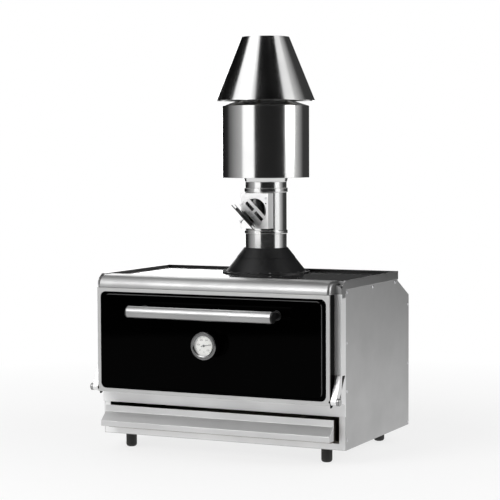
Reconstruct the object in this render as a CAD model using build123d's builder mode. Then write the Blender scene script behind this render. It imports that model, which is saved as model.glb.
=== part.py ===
from build123d import *
import os
from math import cos, radians, sin, sqrt

# Charcoal grill oven with a drop-down door, an ash drawer and a flue on top.
# Millimetres. X runs left to right, Y from front to back, Z up from the table.
# The origin lies on the table, in the middle of the object's outline.

# Casing
CASING_HALF = 463.0
CASING_FRONT = -209.0
CASING_REAR = 394.0
CASING_BOTTOM = 50.0
CASING_TOP = 618.0
SHEET = 2.0
THIN_SHEET = 1.5
SLOPE_TOP_Y = 279.0
SLOPE_TOP_Z = 584.0
SLOPE_FOOT_Z = 525.0
TRIM_BOTTOM = 589.0
COVER_Z = 608.0
COVER_HALF = 455.0

# Front: the fascia stands proud of the casing, the door proud of the fascia
FASCIA_Y = -249.0
FASCIA_BOTTOM = 163.5
FASCIA_TOP = 576.0
SILL_Y = -218.0
SILL_FOLD_Z = 213.0
SILL_TOP = 206.0
CANOPY_RADIUS = 40.0
SHOULDER_TOP = 603.0
DRAWER_MOUTH_HALF = 439.0
DRAWER_MOUTH_BOTTOM = 72.0

# Mouth of the grilling chamber
MOUTH_HALF = 398.0
MOUTH_BOTTOM = 236.0
MOUTH_TOP = 546.0
COLLAR_WALL = 3.0
COLLAR_REAR = -200.0

# Grilling chamber
CHAMBER_HALF = 410.0
CHAMBER_BOTTOM = 172.0
CHAMBER_TOP = 560.0
CHAMBER_REAR = 270.0
CHAMBER_WALL = 4.0
GRATE_HOLE = (600.0, 370.0)
GRATE_CENTRE_Y = 35.0

# Racks and their rails
RACK_LEVELS = {"lower": 296.0, "upper": 416.0}
RACK_HALF = 396.0
RACK_FRONT = -183.0
RACK_REAR = 250.0
RACK_BAR = 8.0
RAIL_FRONT = -190.0
RAIL_REAR = 262.0
RUNNING_GAP = 0.3

# Door
DOOR_HALF = 440.0
DOOR_BOTTOM = 210.0
DOOR_TOP = 575.0
DOOR_FRONT = -293.0
DOOR_REAR = -251.5
RIM_WIDTH = 13.0
RIM_DEPTH = 4.0
PANEL_CORNER = 20.0
PLUG_HALF = 388.0
PLUG_BOTTOM = 246.0
PLUG_TOP = 536.0
PLUG_REAR = -236.5
PIVOT_Y = -281.0
PIVOT_Z = 223.0
PIN_RADIUS = 5.0
BUSH_RADIUS = 7.4
BORE_GAP = 0.05
KNUCKLE_RADIUS = 12.5
ARM_INNER = 441.5

# Handle and thermometer
HANDLE_Y = -373.5
HANDLE_Z = 502.0
HANDLE_RADIUS = 20.5
HANDLE_HALF = 274.5
POST_X = 250.0
GAUGE_Z = 394.0
GAUGE_FRONT = -347.0
GAUGE_RADIUS = 47.5
DIAL_RADIUS = 34.0
NEEDLE_LIFT = 10.0

# Drawer
DRAWER_HALF = 435.0
DRAWER_BOX_HALF = 425.0
DRAWER_TOP = 156.5
DRAWER_LIP_Y = -284.0
BOX_BOTTOM = 78.0
BOX_TOP = 150.0
BOX_REAR = 180.0

# Feet
FOOT_RADIUS = 19.0
FOOT_PLACES = [(-377.0, -169.0), (377.0, -169.0), (-386.0, 295.0), (386.0, 295.0)]

# Flue
FLUE_Y = 161.0
PIPE_RADIUS = 75.0
PIPE_WALL = 1.5
OUTLET_RADIUS = 73.0
FLANGE_RADIUS = 158.0
FLANGE_TOP = 614.0
CONE_FOOT_RADIUS = 145.0
CONE_TOP_RADIUS = 77.0
CONE_SPLIT_Z = 665.0
CONE_TOP_Z = 700.0
DAMPER_PIPE_BOTTOM = 756.5
DAMPER_PIPE_TOP = 907.0
FIREBREAK_RADIUS = 157.0
FIREBREAK_BOTTOM = 952.0
FIREBREAK_TOP = 1209.0
NECK_RADIUS = 86.0
NECK_FOOT_Z = 1231.5
NECK_TOP_Z = 1290.0
HAT_RADIUS = 178.5
HAT_TOP_RADIUS = 86.0
HAT_BOTTOM_Z = 1228.0
HAT_TOP_Z = 1456.0

# Draught damper
HOUSING_HALF = 53.5
HOUSING_FRONT = 64.5
HOUSING_BOTTOM = 771.0
HOUSING_TOP = 897.0
DAMPER_Z = 834.0
DAMPER_HOLE_RADIUS = 45.0
FLAP_RADIUS = 60.0
FLAP_OFFSET = 39.0
FLAP_AXIS_Y = 53.0
FLAP_OPEN = 70.0

os.makedirs("parts", exist_ok=True)

SIDES = {"left": -1, "right": 1}
FLUE_TOP_VIEW = Plane(origin=(0, FLUE_Y, 0))
FLUE_SECTION = Plane(origin=(0, FLUE_Y, 0), x_dir=(1, 0, 0), z_dir=(0, -1, 0))


# Casing

# Each side panel is one flat sheet whose rear top corner is cut down to the sloping back.
side_outline = [
    (CASING_FRONT, CASING_BOTTOM),
    (CASING_FRONT, CASING_TOP - SHEET),
    (SLOPE_TOP_Y, CASING_TOP - SHEET),
    (SLOPE_TOP_Y, SLOPE_TOP_Z),
    (CASING_REAR, SLOPE_FOOT_Z),
    (CASING_REAR, CASING_BOTTOM),
]
for side, sign in SIDES.items():
    inner_x = sign * (CASING_HALF - SHEET)
    with BuildPart() as side_panel:
        with BuildSketch(Plane.YZ.offset(inner_x)):
            Polygon(*side_outline, align=None)
        extrude(amount=sign * SHEET)
    side_panel.part.label = f"{side}_side_panel"
    export_step(side_panel.part, f"parts/{side}_side_panel.step")

# The rear panel is one bent sheet: upright, sloping, then upright again under the top.
with BuildPart() as rear_panel:
    with BuildSketch(Plane.YZ.offset(SHEET - CASING_HALF)):
        Polygon(
            (CASING_REAR, CASING_BOTTOM + SHEET),
            (CASING_REAR, SLOPE_FOOT_Z),
            (SLOPE_TOP_Y, SLOPE_TOP_Z),
            (SLOPE_TOP_Y, COVER_Z),
            (SLOPE_TOP_Y - SHEET, COVER_Z),
            (SLOPE_TOP_Y - SHEET, SLOPE_TOP_Z - SHEET),
            (CASING_REAR - SHEET, SLOPE_FOOT_Z - SHEET),
            (CASING_REAR - SHEET, CASING_BOTTOM + SHEET),
            align=None,
        )
    extrude(amount=2 * (CASING_HALF - SHEET))
rear_panel.part.label = "rear_panel"
export_step(rear_panel.part, "parts/rear_panel.step")

STUD_RADIUS = 5.0
with BuildPart() as base_panel:
    with BuildSketch(Plane.XY.offset(CASING_BOTTOM)):
        with Locations((0, (CASING_FRONT + CASING_REAR) / 2)):
            Rectangle(2 * (CASING_HALF - SHEET), CASING_REAR - CASING_FRONT)
        with Locations(*FOOT_PLACES):
            Circle(STUD_RADIUS, mode=Mode.SUBTRACT)
    extrude(amount=SHEET)
base_panel.part.label = "base_panel"
export_step(base_panel.part, "parts/base_panel.step")

# The top cover lies a little below the rim and has the hole for the flue.
COVER_REAR = SLOPE_TOP_Y - 8.0
with BuildPart() as top_cover:
    with BuildSketch(Plane.XY.offset(COVER_Z)):
        with Locations((0, (CASING_FRONT + COVER_REAR) / 2)):
            Rectangle(2 * COVER_HALF, COVER_REAR - CASING_FRONT)
        with Locations((0, FLUE_Y)):
            Circle(OUTLET_RADIUS, mode=Mode.SUBTRACT)
    extrude(amount=SHEET)
top_cover.part.label = "top_cover"
export_step(top_cover.part, "parts/top_cover.step")

# The trim is a folded strip round the left, rear and right edges of the top.
# Its front ends run on past the casing as tabs with a sloping upper corner.
TRIM_HALF = CASING_HALF + THIN_SHEET
TRIM_REAR = SLOPE_TOP_Y + THIN_SHEET
TRIM_WEB_Z = CASING_TOP - THIN_SHEET
TAB_BOTTOM = 562.0
TAB_FRONT = -240.0
TAB_TOP_FRONT = -219.0
TAB_REAR = -214.0
with BuildPart() as top_trim:
    with BuildSketch(Plane.XY.offset(TRIM_BOTTOM)):
        with Locations((0, (CASING_FRONT + TRIM_REAR) / 2)):
            Rectangle(2 * TRIM_HALF, TRIM_REAR - CASING_FRONT)
        with Locations((0, (CASING_FRONT + SLOPE_TOP_Y) / 2)):
            Rectangle(2 * CASING_HALF, SLOPE_TOP_Y - CASING_FRONT, mode=Mode.SUBTRACT)
    extrude(amount=CASING_TOP - TRIM_BOTTOM)
    for sign in SIDES.values():
        with BuildSketch(Plane.YZ.offset(sign * CASING_HALF)):
            Polygon(
                (CASING_FRONT, CASING_TOP),
                (TAB_TOP_FRONT, CASING_TOP),
                (TAB_FRONT, SHOULDER_TOP),
                (TAB_FRONT, TAB_BOTTOM),
                (TAB_REAR, TAB_BOTTOM),
                (TAB_REAR, TRIM_BOTTOM),
                (CASING_FRONT, TRIM_BOTTOM),
                align=None,
            )
        extrude(amount=sign * THIN_SHEET)
    with BuildSketch(Plane.XY.offset(TRIM_WEB_Z)):
        with Locations((0, (CASING_FRONT + TRIM_REAR) / 2)):
            Rectangle(2 * TRIM_HALF, TRIM_REAR - CASING_FRONT)
        with Locations((0, (CASING_FRONT + COVER_REAR) / 2)):
            Rectangle(2 * COVER_HALF, COVER_REAR - CASING_FRONT, mode=Mode.SUBTRACT)
    extrude(amount=THIN_SHEET)
    with BuildSketch(Plane.XY.offset(COVER_Z + SHEET)):
        with Locations((0, (CASING_FRONT + COVER_REAR + THIN_SHEET) / 2)):
            Rectangle(2 * (COVER_HALF + THIN_SHEET), COVER_REAR + THIN_SHEET - CASING_FRONT)
        with Locations((0, (CASING_FRONT + COVER_REAR) / 2)):
            Rectangle(2 * COVER_HALF, COVER_REAR - CASING_FRONT, mode=Mode.SUBTRACT)
    extrude(amount=TRIM_WEB_Z - COVER_Z - SHEET)
top_trim.part.label = "top_trim"
export_step(top_trim.part, "parts/top_trim.step")

# The canopy is the rounded band over the door. It is as wide as the door and has rounded
# ends, and lower shoulders behind it reach out to the sides of the casing.
CANOPY_TOP_Y = DOOR_FRONT + CANOPY_RADIUS
CANOPY_CHIN_Z = CASING_TOP - CANOPY_RADIUS
CANOPY_END_RADIUS = 12.0
CANOPY_END_WALL = 8.0
FASCIA_BACK = FASCIA_Y + SHEET
FASCIA_PLANE = Plane.XZ.offset(-FASCIA_Y)
with BuildPart() as front_canopy:
    with BuildSketch(Plane.YZ.offset(-DOOR_HALF)):
        with BuildLine():
            Polyline(
                (DOOR_FRONT, CANOPY_CHIN_Z),
                (DOOR_FRONT, FASCIA_TOP),
                (CASING_FRONT, FASCIA_TOP),
                (CASING_FRONT, CASING_TOP),
                (CANOPY_TOP_Y, CASING_TOP),
            )
            CenterArc((CANOPY_TOP_Y, CANOPY_CHIN_Z), CANOPY_RADIUS, 90, 90)
        make_face()
    extrude(amount=2 * DOOR_HALF)
    end_edges = front_canopy.edges().filter_by(lambda edge: abs(abs(edge.center().X) - DOOR_HALF) < 1)
    rounded_edges = end_edges.filter_by(
        lambda edge: edge.center().Y < CASING_FRONT - 1 and edge.center().Z > FASCIA_TOP + 0.5
    )
    fillet(rounded_edges, CANOPY_END_RADIUS)
    with BuildSketch(FASCIA_PLANE):
        with Locations((0, (FASCIA_TOP + SHOULDER_TOP) / 2)):
            Rectangle(2 * CASING_HALF, SHOULDER_TOP - FASCIA_TOP)
        upper_corners = vertices().group_by(Axis.Y)[-1]
        fillet(upper_corners, CANOPY_END_RADIUS)
    extrude(amount=FASCIA_Y - CASING_FRONT)
    with BuildSketch(Plane.YZ.offset(CANOPY_END_WALL - DOOR_HALF)):
        with BuildLine():
            Polyline(
                (DOOR_FRONT + SHEET, CANOPY_CHIN_Z),
                (CASING_FRONT, CANOPY_CHIN_Z),
                (CASING_FRONT, COVER_Z),
                (CASING_FRONT - SHEET, COVER_Z),
                (CASING_FRONT - SHEET, CASING_TOP - SHEET),
                (CANOPY_TOP_Y, CASING_TOP - SHEET),
            )
            CenterArc((CANOPY_TOP_Y, CANOPY_CHIN_Z), CANOPY_RADIUS - SHEET, 90, 90)
        make_face()
    extrude(amount=2 * (DOOR_HALF - CANOPY_END_WALL), mode=Mode.SUBTRACT)
    with BuildSketch(FASCIA_PLANE.offset(-SHEET)):
        for sign in SIDES.values():
            with Locations((sign * (DOOR_HALF + CASING_HALF) / 2, (FASCIA_TOP + SHOULDER_TOP) / 2)):
                Rectangle(CASING_HALF - DOOR_HALF - 2 * SHEET, SHOULDER_TOP - FASCIA_TOP - 2 * SHEET)
    extrude(amount=FASCIA_BACK - CASING_FRONT, mode=Mode.SUBTRACT)
    with BuildSketch(Plane.XZ.offset(SHEET - CASING_FRONT)):
        for sign in SIDES.values():
            with Locations((sign * (DOOR_HALF + CASING_HALF - SHEET) / 2, (FASCIA_TOP + TRIM_WEB_Z) / 2)):
                Rectangle(CASING_HALF - DOOR_HALF + SHEET, TRIM_WEB_Z - FASCIA_TOP)
    extrude(amount=-SHEET)
front_canopy.part.label = "front_canopy"
export_step(front_canopy.part, "parts/front_canopy.step")

# The fascia frame carries the door: a flat front, side returns, a sill and the mouth collar.
# The sill under the door is set back, and each side return has a slot behind its hinge arm.
MOUTH_CENTRE_Z = (MOUTH_BOTTOM + MOUTH_TOP) / 2
MOUTH_SIZE = (2 * MOUTH_HALF, MOUTH_TOP - MOUTH_BOTTOM)
COLLAR_SIZE = (2 * (MOUTH_HALF + COLLAR_WALL), MOUTH_TOP - MOUTH_BOTTOM + 2 * COLLAR_WALL)
ARM_SLOT = [(-240.0, 304.0), (-215.0, 304.0), (-246.0, 257.0)]
with BuildPart() as fascia_frame:
    with BuildSketch(Plane.YZ.offset(-CASING_HALF)):
        Polygon(
            (FASCIA_Y, FASCIA_TOP),
            (FASCIA_Y, SILL_FOLD_Z),
            (SILL_Y, SILL_TOP),
            (SILL_Y, FASCIA_BOTTOM),
            (CASING_FRONT, FASCIA_BOTTOM),
            (CASING_FRONT, FASCIA_TOP),
            align=None,
        )
    extrude(amount=2 * CASING_HALF)
    with BuildSketch(Plane.YZ.offset(SHEET - CASING_HALF)):
        Polygon(
            (FASCIA_BACK, FASCIA_TOP),
            (FASCIA_BACK, SILL_FOLD_Z + SHEET),
            (SILL_Y + SHEET, SILL_TOP + SHEET),
            (SILL_Y + SHEET, FASCIA_BOTTOM + SHEET),
            (CASING_FRONT, FASCIA_BOTTOM + SHEET),
            (CASING_FRONT, FASCIA_TOP),
            align=None,
        )
    extrude(amount=2 * (CASING_HALF - SHEET), mode=Mode.SUBTRACT)
    with BuildSketch(Plane.YZ.offset(-CASING_HALF)):
        Polygon(*ARM_SLOT, align=None)
    extrude(amount=2 * CASING_HALF, mode=Mode.SUBTRACT)
    with BuildSketch(FASCIA_PLANE.offset(-SHEET)):
        with Locations((0, MOUTH_CENTRE_Z)):
            Rectangle(*COLLAR_SIZE)
    extrude(amount=FASCIA_BACK - COLLAR_REAR)
    with BuildSketch(FASCIA_PLANE):
        with Locations((0, MOUTH_CENTRE_Z)):
            Rectangle(*MOUTH_SIZE)
    extrude(amount=FASCIA_Y - COLLAR_REAR, mode=Mode.SUBTRACT)
fascia_frame.part.label = "fascia_frame"
export_step(fascia_frame.part, "parts/fascia_frame.step")

# The lower front frame closes the casing round the drawer.
LOWER_FRAME_BOTTOM = CASING_BOTTOM + SHEET
LOWER_FRAME_HEIGHT = FASCIA_BOTTOM - LOWER_FRAME_BOTTOM
DRAWER_MOUTH_HEIGHT = FASCIA_BOTTOM - DRAWER_MOUTH_BOTTOM
with BuildPart() as lower_front_frame:
    with BuildSketch(Plane.XZ.offset(-CASING_FRONT)):
        with Locations((0, LOWER_FRAME_BOTTOM + LOWER_FRAME_HEIGHT / 2)):
            Rectangle(2 * (CASING_HALF - SHEET), LOWER_FRAME_HEIGHT)
        with Locations((0, DRAWER_MOUTH_BOTTOM + DRAWER_MOUTH_HEIGHT / 2)):
            Rectangle(2 * DRAWER_MOUTH_HALF, DRAWER_MOUTH_HEIGHT, mode=Mode.SUBTRACT)
    extrude(amount=-SHEET)
lower_front_frame.part.label = "lower_front_frame"
export_step(lower_front_frame.part, "parts/lower_front_frame.step")

# The chassis is welded from angle posts and the bars that the chamber stands on.
POST_WIDTH = 22.0
POST_WALL = 3.0
POST_OUTER = CASING_HALF - SHEET
POST_TOP = 600.0
CROSS_BAR_BOTTOM = FASCIA_BOTTOM + SHEET + 0.1
CROSS_BAR_WIDTH = 20.0
CROSS_BAR_YS = (-190.0, 250.0)
FRONT_POST_Y = -205.0
REAR_POST_Y = 274.0
with BuildPart() as chassis_frame:
    with BuildSketch(Plane.XY.offset(CASING_BOTTOM + SHEET)):
        for sign in SIDES.values():
            web_x = sign * (POST_OUTER - POST_WALL / 2)
            flange_x = sign * (POST_OUTER - POST_WIDTH / 2)
            for corner_y, inward in ((FRONT_POST_Y, 1), (REAR_POST_Y, -1)):
                with Locations((web_x, corner_y + inward * POST_WIDTH / 2)):
                    Rectangle(POST_WALL, POST_WIDTH)
                with Locations((flange_x, corner_y + inward * POST_WALL / 2)):
                    Rectangle(POST_WIDTH, POST_WALL)
    extrude(amount=POST_TOP - CASING_BOTTOM - SHEET)
    with BuildSketch(Plane.XY.offset(CROSS_BAR_BOTTOM)):
        for bar_y in CROSS_BAR_YS:
            with Locations((0, bar_y)):
                Rectangle(2 * POST_OUTER, CROSS_BAR_WIDTH)
        for sign in SIDES.values():
            with Locations((sign * (POST_OUTER - POST_WALL), sum(CROSS_BAR_YS) / 2)):
                Rectangle(2 * POST_WALL, CROSS_BAR_YS[1] - CROSS_BAR_YS[0])
    extrude(amount=CHAMBER_BOTTOM - CROSS_BAR_BOTTOM)
chassis_frame.part.label = "chassis_frame"
export_step(chassis_frame.part, "parts/chassis_frame.step")

# Four black feet with rounded treads, on studs that pass through the base.
TREAD_RADIUS = 10.0
STUD_BOTTOM = 20.0
STUD_TOP = 64.0
NUT_ACROSS = 8.0
NUT_HEIGHT = 8.0
with BuildPart() as feet:
    with BuildSketch(Plane.XY):
        with Locations(*FOOT_PLACES):
            Circle(FOOT_RADIUS)
    extrude(amount=CASING_BOTTOM)
    fillet(feet.faces().sort_by(Axis.Z)[:4].edges(), TREAD_RADIUS)
    with BuildSketch(Plane.XY.offset(STUD_BOTTOM)):
        with Locations(*FOOT_PLACES):
            Circle(STUD_RADIUS)
    extrude(amount=CASING_BOTTOM - STUD_BOTTOM, mode=Mode.SUBTRACT)
feet.part.label = "feet"
export_step(feet.part, "parts/feet.step")

with BuildPart() as foot_studs:
    with BuildSketch(Plane.XY.offset(STUD_BOTTOM)):
        with Locations(*FOOT_PLACES):
            Circle(STUD_RADIUS)
    extrude(amount=STUD_TOP - STUD_BOTTOM)
    with BuildSketch(Plane.XY.offset(CASING_BOTTOM + SHEET)):
        with Locations(*FOOT_PLACES):
            RegularPolygon(NUT_ACROSS, 6)
    extrude(amount=NUT_HEIGHT)
foot_studs.part.label = "foot_studs"
export_step(foot_studs.part, "parts/foot_studs.step")

# Domed screws hold the side panels, in the same places on both sides.
SCREW_RADIUS = 5.5
SCREW_HEIGHT = 2.4
SIDE_SCREW_PLACES = [
    (-200.0, 580.0),
    (34.0, 580.0),
    (252.0, 580.0),
    (-200.0, 411.0),
    (-200.0, 248.0),
    (-200.0, 85.0),
    (384.0, 491.0),
    (384.0, 277.0),
    (384.0, 62.0),
]
with BuildPart() as side_screws:
    for sign in SIDES.values():
        with BuildSketch(Plane.YZ.offset(sign * CASING_HALF)):
            with Locations(*SIDE_SCREW_PLACES):
                Circle(SCREW_RADIUS)
        extrude(amount=sign * SCREW_HEIGHT, taper=30)
side_screws.part.label = "side_screws"
export_step(side_screws.part, "parts/side_screws.step")


# Grilling chamber

CHAMBER_DEPTH = CHAMBER_REAR - COLLAR_REAR
CHAMBER_CENTRE_Y = (CHAMBER_REAR + COLLAR_REAR) / 2
with BuildPart() as firebox:
    with BuildSketch(Plane.XY.offset(CHAMBER_BOTTOM)):
        with Locations((0, CHAMBER_CENTRE_Y)):
            Rectangle(2 * CHAMBER_HALF, CHAMBER_DEPTH)
    extrude(amount=CHAMBER_TOP - CHAMBER_BOTTOM)
    with BuildSketch(FLUE_TOP_VIEW.offset(CHAMBER_TOP)):
        Circle(OUTLET_RADIUS)
    extrude(amount=COVER_Z + SHEET - CHAMBER_TOP)
    with BuildSketch(Plane.XY.offset(CHAMBER_BOTTOM + CHAMBER_WALL)):
        with Locations((0, CHAMBER_CENTRE_Y)):
            Rectangle(2 * (CHAMBER_HALF - CHAMBER_WALL), CHAMBER_DEPTH - 2 * CHAMBER_WALL)
    extrude(amount=CHAMBER_TOP - CHAMBER_BOTTOM - 2 * CHAMBER_WALL, mode=Mode.SUBTRACT)
    with BuildSketch(Plane.XZ.offset(-COLLAR_REAR)):
        with Locations((0, MOUTH_CENTRE_Z)):
            Rectangle(*MOUTH_SIZE)
    extrude(amount=-CHAMBER_WALL, mode=Mode.SUBTRACT)
    with BuildSketch(Plane.XY.offset(CHAMBER_BOTTOM)):
        with Locations((0, GRATE_CENTRE_Y)):
            Rectangle(*GRATE_HOLE)
    extrude(amount=CHAMBER_WALL, mode=Mode.SUBTRACT)
    with BuildSketch(FLUE_TOP_VIEW.offset(CHAMBER_TOP - CHAMBER_WALL)):
        Circle(OUTLET_RADIUS - COLLAR_WALL)
    extrude(amount=COVER_Z + SHEET - CHAMBER_TOP + CHAMBER_WALL, mode=Mode.SUBTRACT)
firebox.part.label = "firebox"
export_step(firebox.part, "parts/firebox.step")

# Mineral wool fills the space between the chamber and the casing: two sides, back and top.
WOOL_OUTER = 434.0
WOOL_GAP = 1.0
WOOL_BOTTOM = 176.0
WOOL_BACK_DEPTH = 60.0
WOOL_TOP_DEPTH = 38.0
WOOL_SIDE_DEPTH = WOOL_OUTER - CHAMBER_HALF - WOOL_GAP
WOOL_HEIGHT = CHAMBER_TOP - WOOL_BOTTOM
with BuildPart() as insulation_slabs:
    with BuildSketch(Plane.XY.offset(WOOL_BOTTOM)):
        for sign in SIDES.values():
            with Locations((sign * (WOOL_OUTER - WOOL_SIDE_DEPTH / 2), CHAMBER_CENTRE_Y)):
                Rectangle(WOOL_SIDE_DEPTH, CHAMBER_DEPTH - 2 * POST_WIDTH)
    extrude(amount=WOOL_HEIGHT)
    with BuildSketch(Plane.XY.offset(WOOL_BOTTOM)):
        with Locations((0, CHAMBER_REAR + WOOL_GAP + WOOL_BACK_DEPTH / 2)):
            Rectangle(2 * WOOL_OUTER, WOOL_BACK_DEPTH)
    extrude(amount=WOOL_HEIGHT - WOOL_BACK_DEPTH)
    with BuildSketch(Plane.XY.offset(CHAMBER_TOP + WOOL_GAP)):
        with Locations((0, CHAMBER_CENTRE_Y)):
            Rectangle(2 * WOOL_OUTER, CHAMBER_DEPTH)
        with Locations((0, FLUE_Y)):
            Circle(OUTLET_RADIUS + WOOL_GAP, mode=Mode.SUBTRACT)
    extrude(amount=WOOL_TOP_DEPTH)
insulation_slabs.part.label = "insulation_slabs"
export_step(insulation_slabs.part, "parts/insulation_slabs.step")

# The cast grate lies over the hole in the chamber floor and holds the charcoal.
GRATE_BOTTOM = CHAMBER_BOTTOM + CHAMBER_WALL
GRATE_HEIGHT = 12.0
GRATE_SIZE = (640.0, 410.0)
GRATE_SLOTS = 20
GRATE_SLOT = (14.0, 360.0)
GRATE_PITCH = 30.0
with BuildPart() as charcoal_grate:
    with BuildSketch(Plane.XY.offset(GRATE_BOTTOM)):
        with Locations((0, GRATE_CENTRE_Y)):
            RectangleRounded(*GRATE_SIZE, 12)
            with GridLocations(GRATE_PITCH, 0, GRATE_SLOTS, 1):
                SlotOverall(GRATE_SLOT[1], GRATE_SLOT[0], rotation=90, mode=Mode.SUBTRACT)
    extrude(amount=GRATE_HEIGHT)
charcoal_grate.part.label = "charcoal_grate"
export_step(charcoal_grate.part, "parts/charcoal_grate.step")

# Angle rails on the chamber walls carry the two racks.
RAIL_WALL = 3.0
RAIL_LEDGE = 384.0
RAIL_HEIGHT = 22.0
RAIL_LENGTH = RAIL_REAR - RAIL_FRONT
rail_outer = CHAMBER_HALF - CHAMBER_WALL
for side, sign in SIDES.items():
    with BuildPart() as rack_rails:
        with BuildSketch(Plane.XZ.offset(-RAIL_FRONT)):
            for ledge_top in RACK_LEVELS.values():
                ledge_bottom = ledge_top - RAIL_WALL
                with Locations((sign * (RAIL_LEDGE + rail_outer) / 2, ledge_bottom + RAIL_WALL / 2)):
                    Rectangle(rail_outer - RAIL_LEDGE, RAIL_WALL)
                with Locations((sign * (rail_outer - RAIL_WALL / 2), ledge_bottom + RAIL_HEIGHT / 2)):
                    Rectangle(RAIL_WALL, RAIL_HEIGHT)
        extrude(amount=-RAIL_LENGTH)
    rack_rails.part.label = f"{side}_rack_rails"
    export_step(rack_rails.part, f"parts/{side}_rack_rails.step")

# Each rack is a frame of square bar with round rods from front to back.
ROD_RADIUS = 3.0
ROD_PITCH = 20.0
ROD_COUNT = 38
RACK_DEPTH = RACK_REAR - RACK_FRONT
RACK_CENTRE_Y = (RACK_REAR + RACK_FRONT) / 2
for level, ledge_top in RACK_LEVELS.items():
    rack_bottom = ledge_top + RUNNING_GAP
    with BuildPart() as rack:
        with BuildSketch(Plane.XY.offset(rack_bottom)):
            with Locations((0, RACK_CENTRE_Y)):
                Rectangle(2 * RACK_HALF, RACK_DEPTH)
                Rectangle(2 * (RACK_HALF - RACK_BAR), RACK_DEPTH - 2 * RACK_BAR, mode=Mode.SUBTRACT)
        extrude(amount=RACK_BAR)
        with BuildSketch(Plane.XZ.offset(-RACK_FRONT - RACK_BAR / 2)):
            with Locations((0, rack_bottom + RACK_BAR / 2)):
                with GridLocations(ROD_PITCH, 0, ROD_COUNT, 1):
                    Circle(ROD_RADIUS)
        extrude(amount=RACK_BAR - RACK_DEPTH)
    rack.part.label = f"{level}_rack"
    export_step(rack.part, f"parts/{level}_rack.step")


# Ash drawer

# Z-shaped runners stand on the base, just outside the drawer box.
RUNNER_WEB_X = 437.0
RUNNER_WALL = 2.0
RUNNER_LEDGE_X = 417.0
RUNNER_FRONT = -205.0
RUNNER_REAR = 200.0
RUNNER_LEDGE_TOP = BOX_BOTTOM - RUNNING_GAP
with BuildPart() as drawer_runners:
    for sign in SIDES.values():
        with BuildSketch(Plane.XZ.offset(-RUNNER_FRONT)):
            with Locations((sign * RUNNER_WEB_X, (CASING_BOTTOM + SHEET + BOX_TOP) / 2)):
                Rectangle(RUNNER_WALL, BOX_TOP - CASING_BOTTOM - SHEET)
            with Locations((sign * (RUNNER_WEB_X + RUNNER_LEDGE_X) / 2, RUNNER_LEDGE_TOP - RUNNER_WALL / 2)):
                Rectangle(RUNNER_WEB_X - RUNNER_LEDGE_X, RUNNER_WALL)
        extrude(amount=RUNNER_FRONT - RUNNER_REAR)
drawer_runners.part.label = "drawer_runners"
export_step(drawer_runners.part, "parts/drawer_runners.step")

# The drawer front is a folded scoop: flat at the top, sloping out to a lip that hands pull.
SCOOP_BEND_Z = 134.0
SCOOP_LIP_TOP = 105.0
SCOOP_LIP_BOTTOM = 86.0
with BuildPart() as drawer_front:
    with BuildSketch(Plane.YZ.offset(-DRAWER_HALF)):
        Polygon(
            (FASCIA_Y, DRAWER_TOP),
            (FASCIA_Y, SCOOP_BEND_Z),
            (DRAWER_LIP_Y, SCOOP_LIP_TOP),
            (DRAWER_LIP_Y, SCOOP_LIP_BOTTOM),
            (DRAWER_LIP_Y + SHEET, SCOOP_LIP_BOTTOM),
            (DRAWER_LIP_Y + SHEET, SCOOP_LIP_TOP - SHEET / 2),
            (FASCIA_Y + SHEET, SCOOP_BEND_Z - SHEET / 2),
            (FASCIA_Y + SHEET, DRAWER_TOP),
            align=None,
        )
    extrude(amount=2 * DRAWER_HALF)
    for sign in SIDES.values():
        with BuildSketch(Plane.YZ.offset(sign * DRAWER_HALF)):
            Polygon(
                (FASCIA_Y + SHEET, DRAWER_TOP),
                (FASCIA_Y, DRAWER_TOP),
                (FASCIA_Y, SCOOP_BEND_Z),
                (DRAWER_LIP_Y, SCOOP_LIP_TOP),
                (DRAWER_LIP_Y, SCOOP_LIP_BOTTOM),
                (FASCIA_Y + SHEET, SCOOP_LIP_BOTTOM),
                align=None,
            )
        extrude(amount=-sign * SHEET)
drawer_front.part.label = "drawer_front"
export_step(drawer_front.part, "parts/drawer_front.step")

BOX_FRONT = FASCIA_Y + SHEET
BOX_DEPTH = BOX_REAR - BOX_FRONT
BOX_WALL = 1.5
with BuildPart() as drawer_box:
    with BuildSketch(Plane.XY.offset(BOX_BOTTOM)):
        with Locations((0, (BOX_FRONT + BOX_REAR) / 2)):
            Rectangle(2 * DRAWER_BOX_HALF, BOX_DEPTH)
    extrude(amount=BOX_TOP - BOX_BOTTOM)
    offset(amount=-BOX_WALL, openings=drawer_box.faces().sort_by(Axis.Z)[-1], kind=Kind.INTERSECTION)
drawer_box.part.label = "drawer_box"
export_step(drawer_box.part, "parts/drawer_box.step")


# Hinges

# Each polished arm is a thick block screwed to the fascia and sloping out to the pivot.
ARM_OUTLINE = [
    (FASCIA_Y, 307.0),
    (-252.0, 307.0),
    (-285.0, 241.0),
    (PIVOT_Y - KNUCKLE_RADIUS, PIVOT_Z),
    (PIVOT_Y + KNUCKLE_RADIUS, PIVOT_Z),
    (-262.0, 238.0),
    (FASCIA_Y, 248.0),
]
for side, sign in SIDES.items():
    with BuildPart() as hinge_arm:
        with BuildSketch(Plane.YZ.offset(sign * ARM_INNER)):
            Polygon(*ARM_OUTLINE, align=None)
            with Locations((PIVOT_Y, PIVOT_Z)):
                Circle(KNUCKLE_RADIUS)
                Circle(PIN_RADIUS, mode=Mode.SUBTRACT)
        extrude(amount=sign * (CASING_HALF - ARM_INNER))
    hinge_arm.part.label = f"{side}_hinge_arm"
    export_step(hinge_arm.part, f"parts/{side}_hinge_arm.step")

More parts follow.
